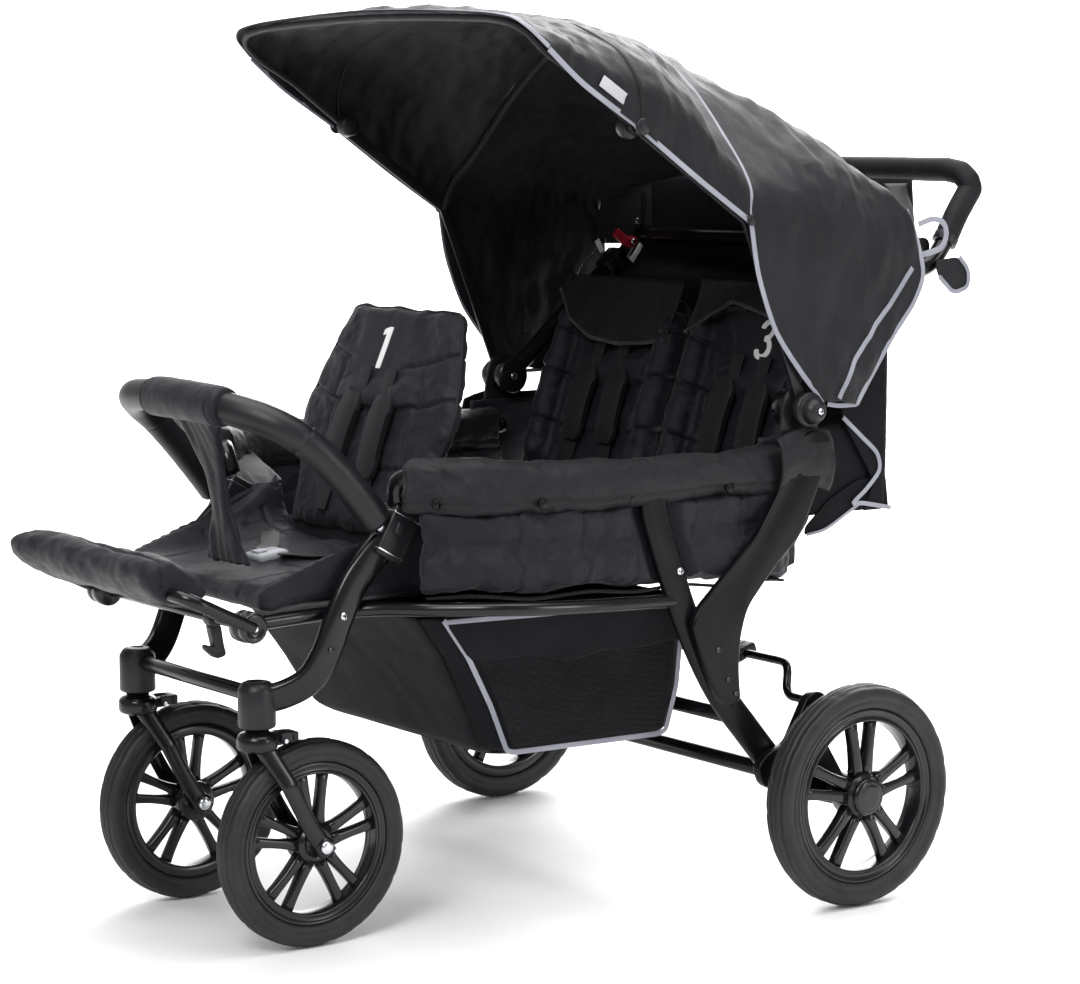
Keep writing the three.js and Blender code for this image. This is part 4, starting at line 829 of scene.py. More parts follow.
for t in (1, len(foam_path) - 2):
    p, q = foam_path[t], foam_path[t + (3 if t == 1 else -3)]
    d = (q - p) / np.linalg.norm(q - p)
    foam.append(rod("collar", p - d * 3, p + d * 9, 17.6, PLASTIC, 40))
foam_obj = piece(join("handle_foam_grip", foam), "handle", "handle_foam", slot="foam_black")

# Grab bar
mouth = np.array([202, -624, 540.0])
slide = np.array([0, -0.644, 0.765])
slide /= np.linalg.norm(slide)
grab_route = [[201, -651, 573], [198, -684, 611], [190, -722, 648], [170, -760, 674], [126, -790, 689],
              [62, -802, 695], [0, -805, 696]]
core_side = [tuple(mouth - slide * 26), tuple(mouth)] + [tuple(p) for p in centripetal(
    [tuple(mouth + slide * 0.5)] + grab_route, 60)[1:]]
piece(sweep("grab_bar_core_tube", both_halves(core_side), 9.5, 9.5, CHROME, 28), "grab_bar", "grab_bar_core",
      slot="steel_core")
grab_foam_side = [tuple(mouth + slide * 4)] + [tuple(p) for p in centripetal(
    [tuple(mouth + slide * 5)] + grab_route, 80)[1:]]
grab_line = even(both_halves(grab_foam_side), 360)
length = np.linspace(0, 1, len(grab_line))
swell = []
for t in length:
    end = min(t, 1 - t) * 640
    near = math.exp(-((end - 128) / 1.6) ** 2) * 0.05
    ease = min(1, 0.78 + 0.22 * (end / 5) ** 0.5)
    swell.append((0.985 + 0.014 * noise.noise(Vector((t * 40, 8.0, 0))) - near) * ease)
grab_foam = sweep("grab_bar_foam_grip", grab_line, 21, 21, GRIP, 40, scale=swell)
piece(grab_foam, "grab_bar", "grab_bar_foam", slot="foam_black")

for tag, s in SIDES:
    socket = block("socket", (34, 42, 68), (s * 202, -605, 528), PLASTIC, -29.1, 4)
    lip = [block("lip%d" % k, (34.8, 42.8, 2.2), (s * 202, -605 + math.sin(math.radians(29.1)) * d,
                                                   528 + math.cos(math.radians(29.1)) * d), CHROME, -29.1, 0.7)
           for k, d in enumerate((-27, 24))]
    mould(join("grab_socket_%s_box" % tag, [socket] + lip), "chassis", "grab_socket_" + tag)
    button = block("grab_release_%s_button" % tag, (8, 11, 16), (s * 219.6, -607, 536), PLASTIC, -29.1, 1.6)
    mould(button, "grab_button_" + tag, "grab_release_" + tag)

# Leg rest frame and lever
rest_path = [[198, -808, 426], [198, -850, 446], [198, -886, 464], [188, -900, 471], [160, -907, 474],
             [0, -907, 474]]
bits = [sweep("rest_loop", soften(both_halves(rest_path), 200, 12), 8.5, 8.5, PAINT, 24, first=(0, 0, 1))]
for tag, s in SIDES:
    profile = [(6, 188.4), (16.8, 188.4), (19, 190.2), (19, 200.6), (17.4, 202.6), (12.6, 203.4),
               (11.8, 202.4), (6, 202.4)]
    bits.append(lathe("disc", profile, GLOSS, (0, *REST), "X", 48, s))
    bits.append(lathe("screw", [(0, 205.8), (2.6, 205.8), (4.6, 204.8), (5, 203), (5, 201), (0, 201)], CHROME,
                      (0, *REST), "X", 24, s))
steel(join("legrest_frame_loop", bits), "legrest", "legrest_frame")
collar = rod("collar", (92, *REST), (108, *REST), 11, PLASTIC)
hook = plate("hook", rounded([[-816, 418], [-800, 418], [-796, 392], [-792, 378], [-806, 374], [-822, 388],
                              [-820, 394], [-809, 388]], 5), 94, 12, PLASTIC, 2.2)
mould(join("legrest_lever_hook", [collar, hook]), "legrest_release", "legrest_lever")

# Fold latch
LATCH_X = -323
latch = [block("clamp", (34, 34, 40), (LATCH_X, 150, 829), PLASTIC, -47, 5),
         block("arm", (6, 16, 26), (LATCH_X + 14, 142, 812), PLASTIC, -30, 1.5),
         block("plate", (8, 18, 34), (LATCH_X + 13, 162, 850), PLASTIC, -40, 2),
         lathe("knob", [(0, 30), (6.6, 30), (8.6, 28.6), (9.6, 25), (11.4, 14), (12, 11), (0, 11)], PLASTIC,
               (LATCH_X, 140, 800), "X", 36, 1),
         rod("pin", (LATCH_X + 14, 166, 862), (LATCH_X + 30, 166, 862), 3, CHROME),
         lathe("pin_head", [(0, 31.6), (3.4, 31.6), (5, 30.4), (5, 28.6), (0, 28.6)], CHROME, (LATCH_X, 166, 862),
               "X", 24, 1)]
mould(join("latch_clamp_body", latch), "handle", "latch_clamp")
lever = [rod("eye", (LATCH_X + 18, 166, 862), (LATCH_X + 28, 166, 862), 9, RED),
         block("tongue", (10, 14, 34), (LATCH_X + 23, 148, 868), RED, 52, 3)]
piece(join("latch_lever_red", lever), "latch", "latch_lever", slot="red_plastic")
wire_line = [(LATCH_X + 21, y, z) for y, z in [(112, 858), (92, 846), (72, 828), (60, 804)]]
wire = [sweep("wire", soften(wire_line, 40, 8), 1.4, 1.4, CHROME, 10, first=(1, 0, 0)),
        rod("cross_pin", (LATCH_X + 12, 180, 893), (LATCH_X + 24, 180, 893), 5, CHROME, 28)]
piece(join("latch_wire", wire), "handle", slot="steel_core")
straps = [block("strap", (1.2, 9, 21), (LATCH_X + 22, 106, 857), PRINT, 31, 0.5),
          block("strap", (1.2, 9, 32), (LATCH_X + 31, 170, 845), PRINT, -38, 0.5)]
lining(join("latch_straps", straps), "handle")

# ---- soft parts ----

def remesh(obj, voxel, rounds):
    """One even skin around a closed shape, relaxed a few rounds."""
    mod = obj.modifiers.new("remesh", "REMESH")
    mod.mode = "VOXEL"
    mod.voxel_size = voxel
    mod.use_smooth_shade = True
    apply_all(obj)
    mod = obj.modifiers.new("relax", "SMOOTH")
    mod.factor = 0.5
    mod.iterations = rounds
    apply_all(obj)


def pad_sim(obj, voxel, cap, rounds=2):
    """Swells a closed pad under a light pressure, by at most cap in metres, then refines its fixed shape."""
    bpy.context.view_layer.objects.active = obj
    remesh(obj, voxel, rounds)
    start = positions(obj)
    mod = obj.modifiers.new("cloth", "CLOTH")
    mod.settings.use_pressure = True
    mod.settings.uniform_pressure_force = 4.0
    mod.settings.effector_weights.gravity = 0
    mod.settings.quality = 4
    mod.settings.tension_stiffness = 18
    mod.settings.compression_stiffness = 8
    mod.settings.bending_stiffness = 0.35
    mod.collision_settings.use_collision = False
    mod.point_cache.frame_start = 1
    mod.point_cache.frame_end = 16
    for f in range(1, 15):
        scene.frame_set(f)
    done = obj.evaluated_get(bpy.context.evaluated_depsgraph_get())
    moved = np.empty(len(done.data.vertices) * 3)
    done.data.vertices.foreach_get("co", moved)
    moved = moved.reshape(-1, 3) - start
    obj.modifiers.remove(mod)
    scene.frame_set(1)
    length = np.linalg.norm(moved, axis=1)
    gain = np.minimum(1.0, cap / np.maximum(length, 1e-9))
    set_positions(obj, start + moved * gain[:, None])
    subdivide(obj)
    apply_all(obj)


def positions(obj):
    co = np.empty(len(obj.data.vertices) * 3)
    obj.data.vertices.foreach_get("co", co)
    return co.reshape(-1, 3)


def set_positions(obj, co):
    obj.data.vertices.foreach_set("co", np.asarray(co, dtype=np.float32).ravel())
    obj.data.update()


def normals_of(obj):
    n = np.empty(len(obj.data.vertices) * 3)
    obj.data.vertices.foreach_get("normal", n)
    return n.reshape(-1, 3)


def apply_all(obj):
    done = obj.evaluated_get(bpy.context.evaluated_depsgraph_get())
    mesh = bpy.data.meshes.new_from_object(done)
    old = obj.data
    obj.modifiers.clear()
    obj.data = mesh
    if old.users == 0:
        bpy.data.meshes.remove(old)


def push(obj, amount):
    """Moves each point along its normal by amount(point), for seams, channels and creases."""
    co, n = positions(obj), normals_of(obj)
    d = np.array([amount(p) for p in co])
    set_positions(obj, co + n * d[:, None])


def surface(obj):
    """Search tree over a piece's skin, in metres."""
    return BVHTree.FromPolygons([v.co[:] for v in obj.data.vertices], [p.vertices[:] for p in obj.data.polygons])


def against(skin, points, lift):
    """Moves points in millimetres onto the nearest place of a skin, and lift outwards from it."""
    out = []
    for p in points:
        at, normal, _, _ = skin.find_nearest(Vector(place([p])[0]))
        out.append(np.array(mm(at)) + np.array(normal) * lift)
    return out


def groove(distance, width, depth):
    """A seam pressed into a pad, at a distance from its line."""
    return -depth * math.exp(-(distance / width) ** 2)


def waves(v):
    """Soft folds of cloth."""
    return noise.fractal(v, 0.6, 2.1, 3)


def crumple(v):
    """Sharp folds of slack cloth."""
    return noise.ridged_multi_fractal(v, 0.9, 2.1, 3, 0.7, 1.6)


def mm(p):
    """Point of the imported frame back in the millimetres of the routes."""
    return p[0] * 1000, p[1] * 1000 - SHIFT, p[2] * 1000


def half_at(halves, t):
    """Half width of a back at a share of its height, with the corners of the list rounded off."""
    shares, widths = zip(*halves)
    return float(np.mean([np.interp(t + q, shares, widths) for q in (-0.05, -0.025, 0, 0.025, 0.05)]))


def back_shape(halves, height, thick, rows=72, cols=84):
    """Rings of a padded back in its own upright frame: x, y, z."""
    rings = []
    for r in range(rows):
        t = r / (rows - 1)
        half = half_at(halves, t) - 1.5
        depth = thick / 2
        if t > 0.95:
            q = (t - 0.95) / 0.05
            depth *= 0.3 + 0.7 * math.sqrt(max(1 - q * q, 0.0))
            half -= 12 * (1 - math.sqrt(max(1 - q * q, 0.0)))
        if t < 0.05:
            depth *= 0.55 + 0.45 * t / 0.05
        section = oval(half, depth, cols, 0.5)
        rings.append(np.stack([section[:, 0], -section[:, 1], np.full(cols, t * height)], axis=1))
    return rings


def lean_rings(rings, lean, centre_x, pivot):
    """Rings of a back's upright frame put in their place."""
    c, s = math.cos(math.radians(lean)), math.sin(math.radians(lean))
    out = []
    for ring in rings:
        a = np.asarray(ring, dtype=float)
        y = a[:, 1] * c + a[:, 2] * s
        z = -a[:, 1] * s + a[:, 2] * c
        out.append(place(np.stack([a[:, 0] + centre_x, y + pivot[0], z + pivot[1]], axis=1)))
    return out


def in_back(p, lean, centre_x, pivot):
    """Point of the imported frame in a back's upright frame, in millimetres."""
    x, y, z = mm(p)
    c, s = math.cos(math.radians(lean)), math.sin(math.radians(lean))
    dy, dz = y - pivot[0], z - pivot[1]
    return x - centre_x, dy * c - dz * s, dy * s + dz * c


def strip(name, path, normals, width, thick, material):
    """Flat strap along a path in millimetres, lying against the given normals."""
    path = np.asarray(path, dtype=float)
    tangents = np.gradient(path, axis=0)
    tangents /= np.linalg.norm(tangents, axis=1)[:, None]
    normals = np.asarray(normals, dtype=float)
    if normals.ndim == 1:
        normals = np.tile(normals, (len(path), 1))
    widths = np.full(len(path), width, dtype=float) if np.isscalar(width) else np.asarray(width, dtype=float)
    rings = []
    for p, t, n, w in zip(path, tangents, normals, widths):
        n = n - t * n.dot(t)
        n /= np.linalg.norm(n)
        b = np.cross(t, n)
        pts = [(-0.5, 0), (-0.5, 1), (-0.46, 1.12), (0, 1.18), (0.46, 1.12), (0.5, 1), (0.5, 0), (0, -0.05)]
        rings.append(place([p + b * u * w + n * v * thick for u, v in pts]))
    return angle_smooth(rings_mesh(name, rings, material), 60)


def piping(name, path, radius, material):
    return sweep(name, path, radius, radius, material, 10, first=(0, 0, 1))


SEAT1_YS = [-530, -575, -630, -690, -745, -790]
SEAT1_MID = [489.5, 487, 481, 474, 469, 463]
SEAT1_EDGE = [574, 566, 533, 514, 494, 474]


def seat1_top(x, y):
    """Height of the front seat's upper face."""
    mid = float(np.interp(-y, [-v for v in SEAT1_YS], SEAT1_MID))
    edge = float(np.interp(-y, [-v for v in SEAT1_YS], SEAT1_EDGE))
    u = min(abs(x) / 184.0, 1.0)
    rise = u ** 9
    return mid + (edge - mid) * rise + 2.5 * math.cos(3 * math.pi * u) * (1 - rise)


def seat1_piece():
    rings = []
    for y in np.linspace(-532, -788, 42):
        ring = []
        end = min(-532 - y, y + 788) / 14.0
        tuck = 1 - 0.03 * (1 - min(end, 1)) ** 2
        for u in np.linspace(-1, 1, 61):
            top = seat1_top(u * 184, y) - 1.6 - 4.5 * (1 - min(end, 1)) ** 2
            ring.append((u * 182.5 * tuck, y, top))
        for u in np.linspace(1, -1, 61):
            ring.append((u * 180.5 * tuck, y, 442 + 3 * (1 - min(end, 1))))
        rings.append(place(ring))
    obj = rings_mesh("seat1_cushion", rings, CLOTH)
    pad_sim(obj, 0.005, 0.004)

    def amount(p):
        x, y, z = mm(p)
        d = 0.0
        if z > 455:
            for line in (-120, 120):
                d += groove(x - line, 3.2, 0.003)
            for line in (-575, -668):
                d += groove(y - line, 3.4, 0.0028) * (abs(x) < 165)
        d += 0.0012 * waves(Vector((x, y, z)) * 0.018)
        return d

    push(obj, amount)
    cloth(obj, "chassis", "seat1_base")


BACK1 = ([[0, 138], [0.2, 146], [0.38, 174], [0.56, 182], [0.78, 160], [0.93, 142], [1, 128]], 317, 30, 0,
         (-546, 501), 20)
BACK2 = ([[0, 146], [0.7, 146], [0.93, 140], [1, 126]], 303, 32, -158, (-24, 501), 18)
BACK3 = (*BACK2[:3], 158, *BACK2[4:])


def on_back(back, u, h, off=0.0):
    """Point in front of a back's face, from its width and height, in the millimetre frame."""
    _, _, thick, centre_x, pivot, lean = back
    c, q = math.cos(math.radians(lean)), math.sin(math.radians(lean))
    d = thick / 2 + off
    return np.array([centre_x + u, pivot[0] + h * q - d * c, pivot[1] + h * c + d * q])


def face_normal(back):
    q = math.radians(back[5])
    return np.array([0, -math.cos(q), math.sin(q)])


def padded_back(name, node, body, back, lines, columns=(), puffs=(), panel=None):
    """Seat back: lines are its seams, columns its padded sides, puffs its quilted row, panel a flat place."""
    halves, height, thick, centre_x, pivot, lean = back
    core = lean_rings(back_shape(halves, height - 3, thick - 4), lean, centre_x, pivot)
    parts = [rings_mesh(name, core, CLOTH)]
    for side in columns:
        col = []
        for t in np.linspace(0, 1, 30):
            z = 22 + t * (height - 46)
            fat = (0.75 + 0.25 * math.sin(math.pi * t)) * (1 - 0.45 * max(0, abs(t - 0.5) - 0.42) / 0.08)
            a = np.arange(28) / 28 * 2 * math.pi
            col.append(np.stack([side * (halves[0][1] - 24) + 20 * fat * np.cos(a),
                                 -34 * (0.55 + 0.74 * fat * np.sin(a)), np.full(28, z)], axis=1))
        parts.append(rings_mesh("column", lean_rings(col, lean, centre_x, pivot), CLOTH))
    for u, low, high, half, deep in puffs:
        pad = []
        for t in np.linspace(0, 1, 16):
            round_off = max(1 - abs(2 * t - 1) ** 3.0, 0.02) ** 0.5
            sect = oval(half * (0.86 + 0.14 * round_off), deep * round_off, 32, 0.62)
            pad.append(np.stack([u + sect[:, 0], -thick / 2 + 3 - sect[:, 1],
                                 np.full(32, low + (high - low) * t)], axis=1))
        parts.append(rings_mesh("puff", lean_rings(pad, lean, centre_x, pivot), CLOTH))
    obj = join(name, parts) if len(parts) > 1 else parts[0]
    pad_sim(obj, 0.0045, 0.0034, rounds=1)

    def amount(p):
        u, v, w = in_back(p, lean, centre_x, pivot)
        d = 0.0
        for kind, at, depth in lines:
            if kind == "across":
                bow = 0.00006 * u * u * at / 10
                d += groove(w - at - bow, 3.2, depth) * (abs(u) < half_at(halves, w / height))
            elif kind == "down":
                for q in (-at, at):
                    d += groove(u - q, 3.2, depth) * (30 < w < 235)
        d += 0.0022 * waves(Vector((u + centre_x, v, w)) * 0.022)
        return d + 0.0011 * math.sin((u * 0.8 + w) * 0.09 + 2.5 * noise.noise(Vector((u, v, w)) * 0.02))

    push(obj, amount)
    if panel:
        co, out = positions(obj), face_normal(back)
        for k, p in enumerate(co):
            u, v, w = in_back(p, lean, centre_x, pivot)
            reach = max(abs(u - panel[0]) - 52, abs(w - panel[1]) - 38, 0.0)
            if v < 0 and reach < 26:
                hold = 0.5 + 0.5 * math.cos(math.pi * reach / 26)
                co[k] = p + out * (v + thick / 2 + 2.4) * hold / 1000
        set_positions(obj, co)
    obj.name = name
    cloth(obj, body, node)
    edge = [on_back(back, -half_at(halves, t) + 3, t * height, -thick / 2 + 5)
            for t in np.linspace(0.06, 0.95, 60)]
    wide = half_at(halves, 1) - 14
    top = [on_back(back, u, height - 1.5, -thick / 2 + 5) for u in np.linspace(-wide, wide, 30)]
    other = [on_back(back, half_at(halves, t) - 3, t * height, -thick / 2 + 5)
             for t in np.linspace(0.95, 0.06, 60)]
    line = against(surface(obj), even(edge + top + other, 150), 0.8)
    cloth(piping(name + "_piping", soften(line, 260, 12), 2.3, SLEEVE), body)


def harness(tag, back, body, spread, reach, over):
    """Shoulder pads and webbing of one seat: the upper part moves with its back."""
    for side, mark in ((-1, "a"), (1, "b")):
        u = side * spread
        pad = [on_back(back, u * (1.0 + 0.12 * t), 186 - 112 * t, over + 2 - 4 * (2 * t - 1) ** 2)
               for t in np.linspace(0, 1, 30)]
        widths = [42 * (1 - 0.3 * abs(2 * t - 1) ** 6) for t in np.linspace(0, 1, 30)]
        cloth(strip("harness_pad_%s_%s" % (tag, mark), pad, face_normal(back), widths, 8, SLEEVE), body)
        web = [on_back(back, u * 0.8, 224 - t * 44, 6.5) for t in np.linspace(0, 1, 8)]
        cloth(strip("harness_web_%s_%s" % (tag, mark), web, face_normal(back), 25, 1.6, WEB), body)
        tail = [on_back(back, u * (1.12 + 0.1 * t), 78 - t * 54, over - 2) for t in np.linspace(0, 1, 12)]
        cloth(strip("harness_tail_%s_%s" % (tag, mark), tail, face_normal(back), 25, 1.6, WEB), body)
        if reach:
            lap = soften([(back[3] + side * 122, reach[0], seat1_top(122, reach[0]) + 3.5),
                          (back[3] + side * 62, (reach[0] + reach[1]) / 2, seat1_top(62, -620) + 3.5),
                          (back[3] + side * 22, reach[1], reach[2])], 30, 20)
            cloth(strip("harness_lap_%s_%s" % (tag, mark), lap, (0, 0.1, 1), 25, 1.6, WEB), "chassis")


seat1_piece()
padded_back("seat1_back_pad", "seat1_back", "back1", BACK1,
            [("across", 88, 0.004), ("across", 168, 0.0045), ("across", 226, 0.0045), ("down", 96, 0.003)],
            puffs=[(-62, 172, 214, 29, 10), (0, 172, 214, 29, 10), (62, 172, 214, 29, 10)], panel=(-14, 256))
harness("front", BACK1, "back1", 38, (-590, -662, 486), 7)
for name, node, body, back in (("seat3_back_pad", "seat3_back", "back3", BACK3),
                               ("seat2_back_pad", "seat2_back", "back2", BACK2)):
    padded_back(name, node, body, back,
                [("across", 90, 0.004), ("across", 160, 0.004), ("across", 222, 0.004), ("down", 82, 0.0025)],
                columns=(1, -1), puffs=[(-54, 168, 212, 26, 10), (0, 168, 212, 26, 10), (54, 168, 212, 26, 10)],
                panel=(14, 252) if body == "back3" else None)
    harness(body, back, body, 36, None, 7)


def bench_piece():
    ys = [-10, -60, -150, -250, -330]
    tops = [489.6, 488, 486, 482, 470]
    rings = []
    for y in np.linspace(-12, -328, 44):
        end = min(-12 - y, y + 328) / 16.0
        soft = (1 - min(end, 1)) ** 2
        top = float(np.interp(-y, [-v for v in ys], tops))
        ring = []
        for u in np.linspace(-1, 1, 81):
            crown = 3 * abs(math.sin(2 * math.pi * u)) - 1.5
            ring.append((u * 306, y, top + crown - 1.5 - 6 * soft - 3 * abs(u) ** 6))
        for u in np.linspace(1, -1, 81):
            ring.append((u * 306, y, 446 + 4 * soft))
        rings.append(place(ring))
    obj = rings_mesh("rear_bench_cushion", rings, CLOTH)
    pad_sim(obj, 0.006, 0.004)

    def amount(p):
        x, y, z = mm(p)
        d = groove(x, 4, 0.006) if z > 455 else 0.0
        if z > 455:
            for line in (-90, -170, -250):
                d += groove(y - line, 3.4, 0.003)
        return d + 0.0014 * waves(Vector((x, y, z)) * 0.018)

    push(obj, amount)
    cloth(obj, "chassis", "rear_bench")


bench_piece()

# Quilted side wall and the padded sleeve over each rail
RAIL = centripetal(rail_route, 12)


def along_rail(t):
    i = min(int(t * (len(RAIL) - 1)), len(RAIL) - 2)
    f = t * (len(RAIL) - 1) - i
    return RAIL[i] * (1 - f) + RAIL[i + 1] * f


def across_rail(t):
    a, b = along_rail(max(t - 0.02, 0)), along_rail(min(t + 0.02, 1))
    long = math.hypot(b[0] - a[0], b[1] - a[1])
    return -(b[1] - a[1]) / long, (b[0] - a[0]) / long


def off_rail(t, offsets, s):
    """Points beside the rail: distance out of it, square to it in plan, and height."""
    x, y, _ = along_rail(t)
    u, v = across_rail(t)
    return [(s * (x + off * u), y + off * v, z) for off, z in offsets]


WALL_END = 18


def wall_low(q):
    """Lower edge of the quilted wall, from the rear (0) to the front (18)."""
    return 450 - 16 * (1 - q / WALL_END) ** 2 + 6 * math.sin(q * 1.3) * 0.4


def side_piece(tag, s):
    rings = []
    for q in np.linspace(0, WALL_END, 130):
        t = q / WALL_END * 0.9
        swell = abs(math.sin(q / WALL_END * math.pi * 7)) ** 0.6
        out = 12 + 9 * swell
        low = wall_low(q) + 2
        high = 569
        mid = (low + high) / 2
        section = [(7, low), (5 + out, low + 9), (7 + out, low + 16), (8 + out * 1.08, mid - 12),
                   (4 + out * 0.86, mid + 4), (5 + out * 0.9, mid + 16), (7 + out, high - 10), (8, high),
                   (-9, high), (-11, mid), (-9, low + 8), (-4, low)]
        rings.append(place(off_rail(t, section, s)))
    wall = rings_mesh("wall", rings, CLOTH)
    rings = []
    for q in np.linspace(0, 13, 110):
        t = 0.02 + q / 13 * 0.9
        z = along_rail(t)[2]
        sag = 2.2 * math.sin(q * 1.9)
        high = 621 + (z - 590) * 0.9 + sag * 0.6
        out = 27 + (-3 if q < 4 else 0) + sag + 6 * math.exp(-((q - 5.9) / 0.9) ** 2)
        section = [(out + 4, 557), (out + 7, 583), (out + 3, high - 14), (out - 6, high - 5), (8, high - 1),
                   (-9, high - 2), (-17, high - 14), (-18, 574), (-13, 556), (6, 556)]
        rings.append(place(off_rail(t, section, s)))
    sleeve = rings_mesh("sleeve", rings, SLEEVE)
    pad_sim(wall, 0.005, 0.005)

    def amount(p):
        x, y, z = mm(p)
        d = 0.0024 * waves(Vector((x, y, z * 1.4)) * 0.026)
        drop = 0.5 + 0.5 * math.cos((z - 500) / 34)
        d += 0.0018 * noise.noise(Vector((y * 0.06, z * 0.03, 4.0 + s)))
        sharp = crumple(Vector((y * 0.011, z * 0.017 + y * 0.006, 9.0 + s)))
        d += 0.0042 * (sharp - 0.9)
        for q in (-150, -232, -330, -410, -500):
            d += groove(y - q - 5 * noise.noise(Vector((0.0, z * 0.03, q))), 3.4, 0.0035)
        return d + groove(z - 520 - 5 * noise.noise(Vector((y * 0.02, 1.0, 2.0))), 5, 0.0022) * drop

    push(wall, amount)
    co = positions(wall)
    for k, p in enumerate(co):
        x, y, z = mm(p)
        gap = abs(y - float(np.interp(z, [395, 470, 549, 600], [-241, -272, -299, -304])))
        limit = 333.5 + 26 * (0.5 - 0.5 * math.cos(math.pi * min(max(gap - 21, 0) / 34, 1)))
        if s * x > limit:
            co[k, 0] = s * (limit + 0.12 * (s * x - limit)) / 1000
    set_positions(wall, co)
    wall.name = "side_wall_%s_quilt" % tag
    cloth(wall, "chassis", "side_fabric_" + tag)
    pad_sim(sleeve, 0.005, 0.004)

    def folds(p):
        x, y, z = mm(p)
        d = 0.0022 * waves(Vector((x, y, z)) * 0.024)
        gather = crumple(Vector((y * 0.03 + z * 0.03, z * 0.02, x * 0.01)))
        d += 0.0040 * (gather - 0.9) * (0.25 + 0.75 * math.exp(-((y + 560) / 90) ** 2))
        return d + groove(z - 571 - 2 * noise.noise(Vector((y * 0.03, 0.0, 1.0))), 2.4, 0.0026)

    push(sleeve, folds)
    sleeve.name = "side_sleeve_%s_pad" % tag
    cloth(sleeve, "chassis")
    # piping along the wall's lower edge
    edge = [off_rail(q / WALL_END * 0.9, [(11, wall_low(q) + 1.4)], s)[0] for q in np.linspace(0.3, 17.6, 120)]
    cloth(piping("side_wall_%s_piping" % tag, edge, 2.3, SLEEVE), "chassis")
    for k, (t, z) in enumerate([(0.19, 570), (0.46, 569), (0.66, 570), (0.85, 572)]):
        x, y, _ = off_rail(t, [(31.5 - (3 if k == 0 else 0), z)], s)[0]
        profile = [(0, 2.6), (3.4, 2.6), (4.2, 1.6), (5.8, 1.8), (6.6, 1.0), (6.8, 0), (6.8, -2), (0, -2)]
        cap = lathe("snap%d_%s" % (k, tag), profile, SHADED_PAINT, (x, y, z), "X", 28, s)
        mould(cap, "chassis")
    # plain cloth that closes the wall behind, and that joins the front seat to the sleeve
    rear = []
    for z in np.linspace(438, 630, 30):
        back = float(np.interp(z, [425, 440, 463, 476, 514, 567, 633], [-91, -74, -57, -48, -24, -9, 8]))
        row = []
        for v in np.linspace(0, 1, 16):
            sway = 3 * noise.noise(Vector((z * 0.03, v * 2, s)))
            row.append((s * (332 - 2 * v + sway), -112 + (back + 112) * v, z))
        rear.append(row)
    cloth(grid_mesh("side_end_" + tag, place(rear), CLOTH, 1.6), "chassis")
    wing = []
    for q in np.linspace(0, 1, 44):
        y = -533 - 100 * q
        low = np.array([s * 181.0, y, seat1_top(181, y) - 8])
        x, z = float(np.interp(y, [-603, -585, -520], [206, 234, 282])), 586 - 6 * q
        high = np.array([s * x, max(y, -603) + 4, z])
        row = []
        for v in np.linspace(0, 1, 22):
            p = low + (high - low) * v
            fold = 9 * crumple(Vector((y * 0.022 + s, v * 1.1, 3.0))) - 5
            row.append(p + np.array([-s * 0.75, 0, -0.65]) * fold * math.sin(math.pi * v) ** 0.6)
        wing.append(place(row))
    cloth(grid_mesh("seat1_side_" + tag, wing, CLOTH, 1.8), "chassis")


tuck = [[(u * 160, -545 + 2 * v, 462 + 48 * v) for u in np.linspace(-1, 1, 30)] for v in np.linspace(0, 1, 8)]
cloth(grid_mesh("seat1_tuck", place(tuck), CLOTH, 2.0), "chassis")
for tag, s in SIDES:
    side_piece(tag, s)


# Leg rest pad: thick in front, its far end drawn out to a point
def rest_piece():
    rows = [[-206, 0.10, 22, 12], [-197, 0.42, 18, 9], [-180, 0.80, 11, 5], [-150, 0.98, 3, 3],
            [-75, 1, 0, 0], [0, 1.02, -2, -2], [75, 1, -2, -3], [125, 0.98, -1, -2], [158, 0.9, 0, 0],
            [170, 0.72, 0, 0]]
    outline = [[-838, 462], [-842, 480], [-868, 500], [-900, 516], [-928, 523], [-944, 514], [-947, 496],
               [-936, 474], [-908, 458], [-868, 452]]
    mid_y, mid_z = -903, 480
    rings = []
    closed = soften([(0, y, z) for y, z in outline + outline[:2]], 44, 14)[:-1]
    for x, share, reach, lift in catmull(np.array(rows, dtype=float), 74):
        share = min(share, 1.02)
        ring = []
        for _, y, z in closed:
            ahead = max((mid_y - y) / 44, 0)
            wave = 0.5 * math.sin(x / 40 + y / 18)
            ring.append((x, mid_y + (y - mid_y) * share * 0.965 - reach * ahead,
                         mid_z + (z - mid_z) * share * 0.95 + lift * ahead + wave * ahead))
        rings.append(place(ring))
    obj = rings_mesh("legrest_pad_roll", rings, CLOTH)
    pad_sim(obj, 0.0045, 0.0022)

    def amount(p):
        x, y, z = mm(p)
        d = groove(y + 916 + 6 * math.sin(x / 60), 3.0, 0.004) if z > 480 else 0.0
        d += groove(y + 872 + 4 * math.sin(x / 45 + 1), 3.0, 0.003) if z > 480 else 0.0
        d += 0.0028 * noise.fractal(Vector((x * 0.8, y * 1.2, z * 1.2)) * 0.017, 0.5, 2.1, 3)
        return d

    push(obj, amount)
    cloth(obj, "legrest", "legrest_pad")


rest_piece()

# Crotch cover: wrapped round the grab bar's middle, then down to the seat
WRAP_ROWS = [[698, -800, 66, 17], [672, -792, 58, 14], [640, -778, 36, 10], [598, -764, 24, 8],
             [550, -756, 24, 8], [508, -750, 40, 9], [484, -746, 52, 9]]


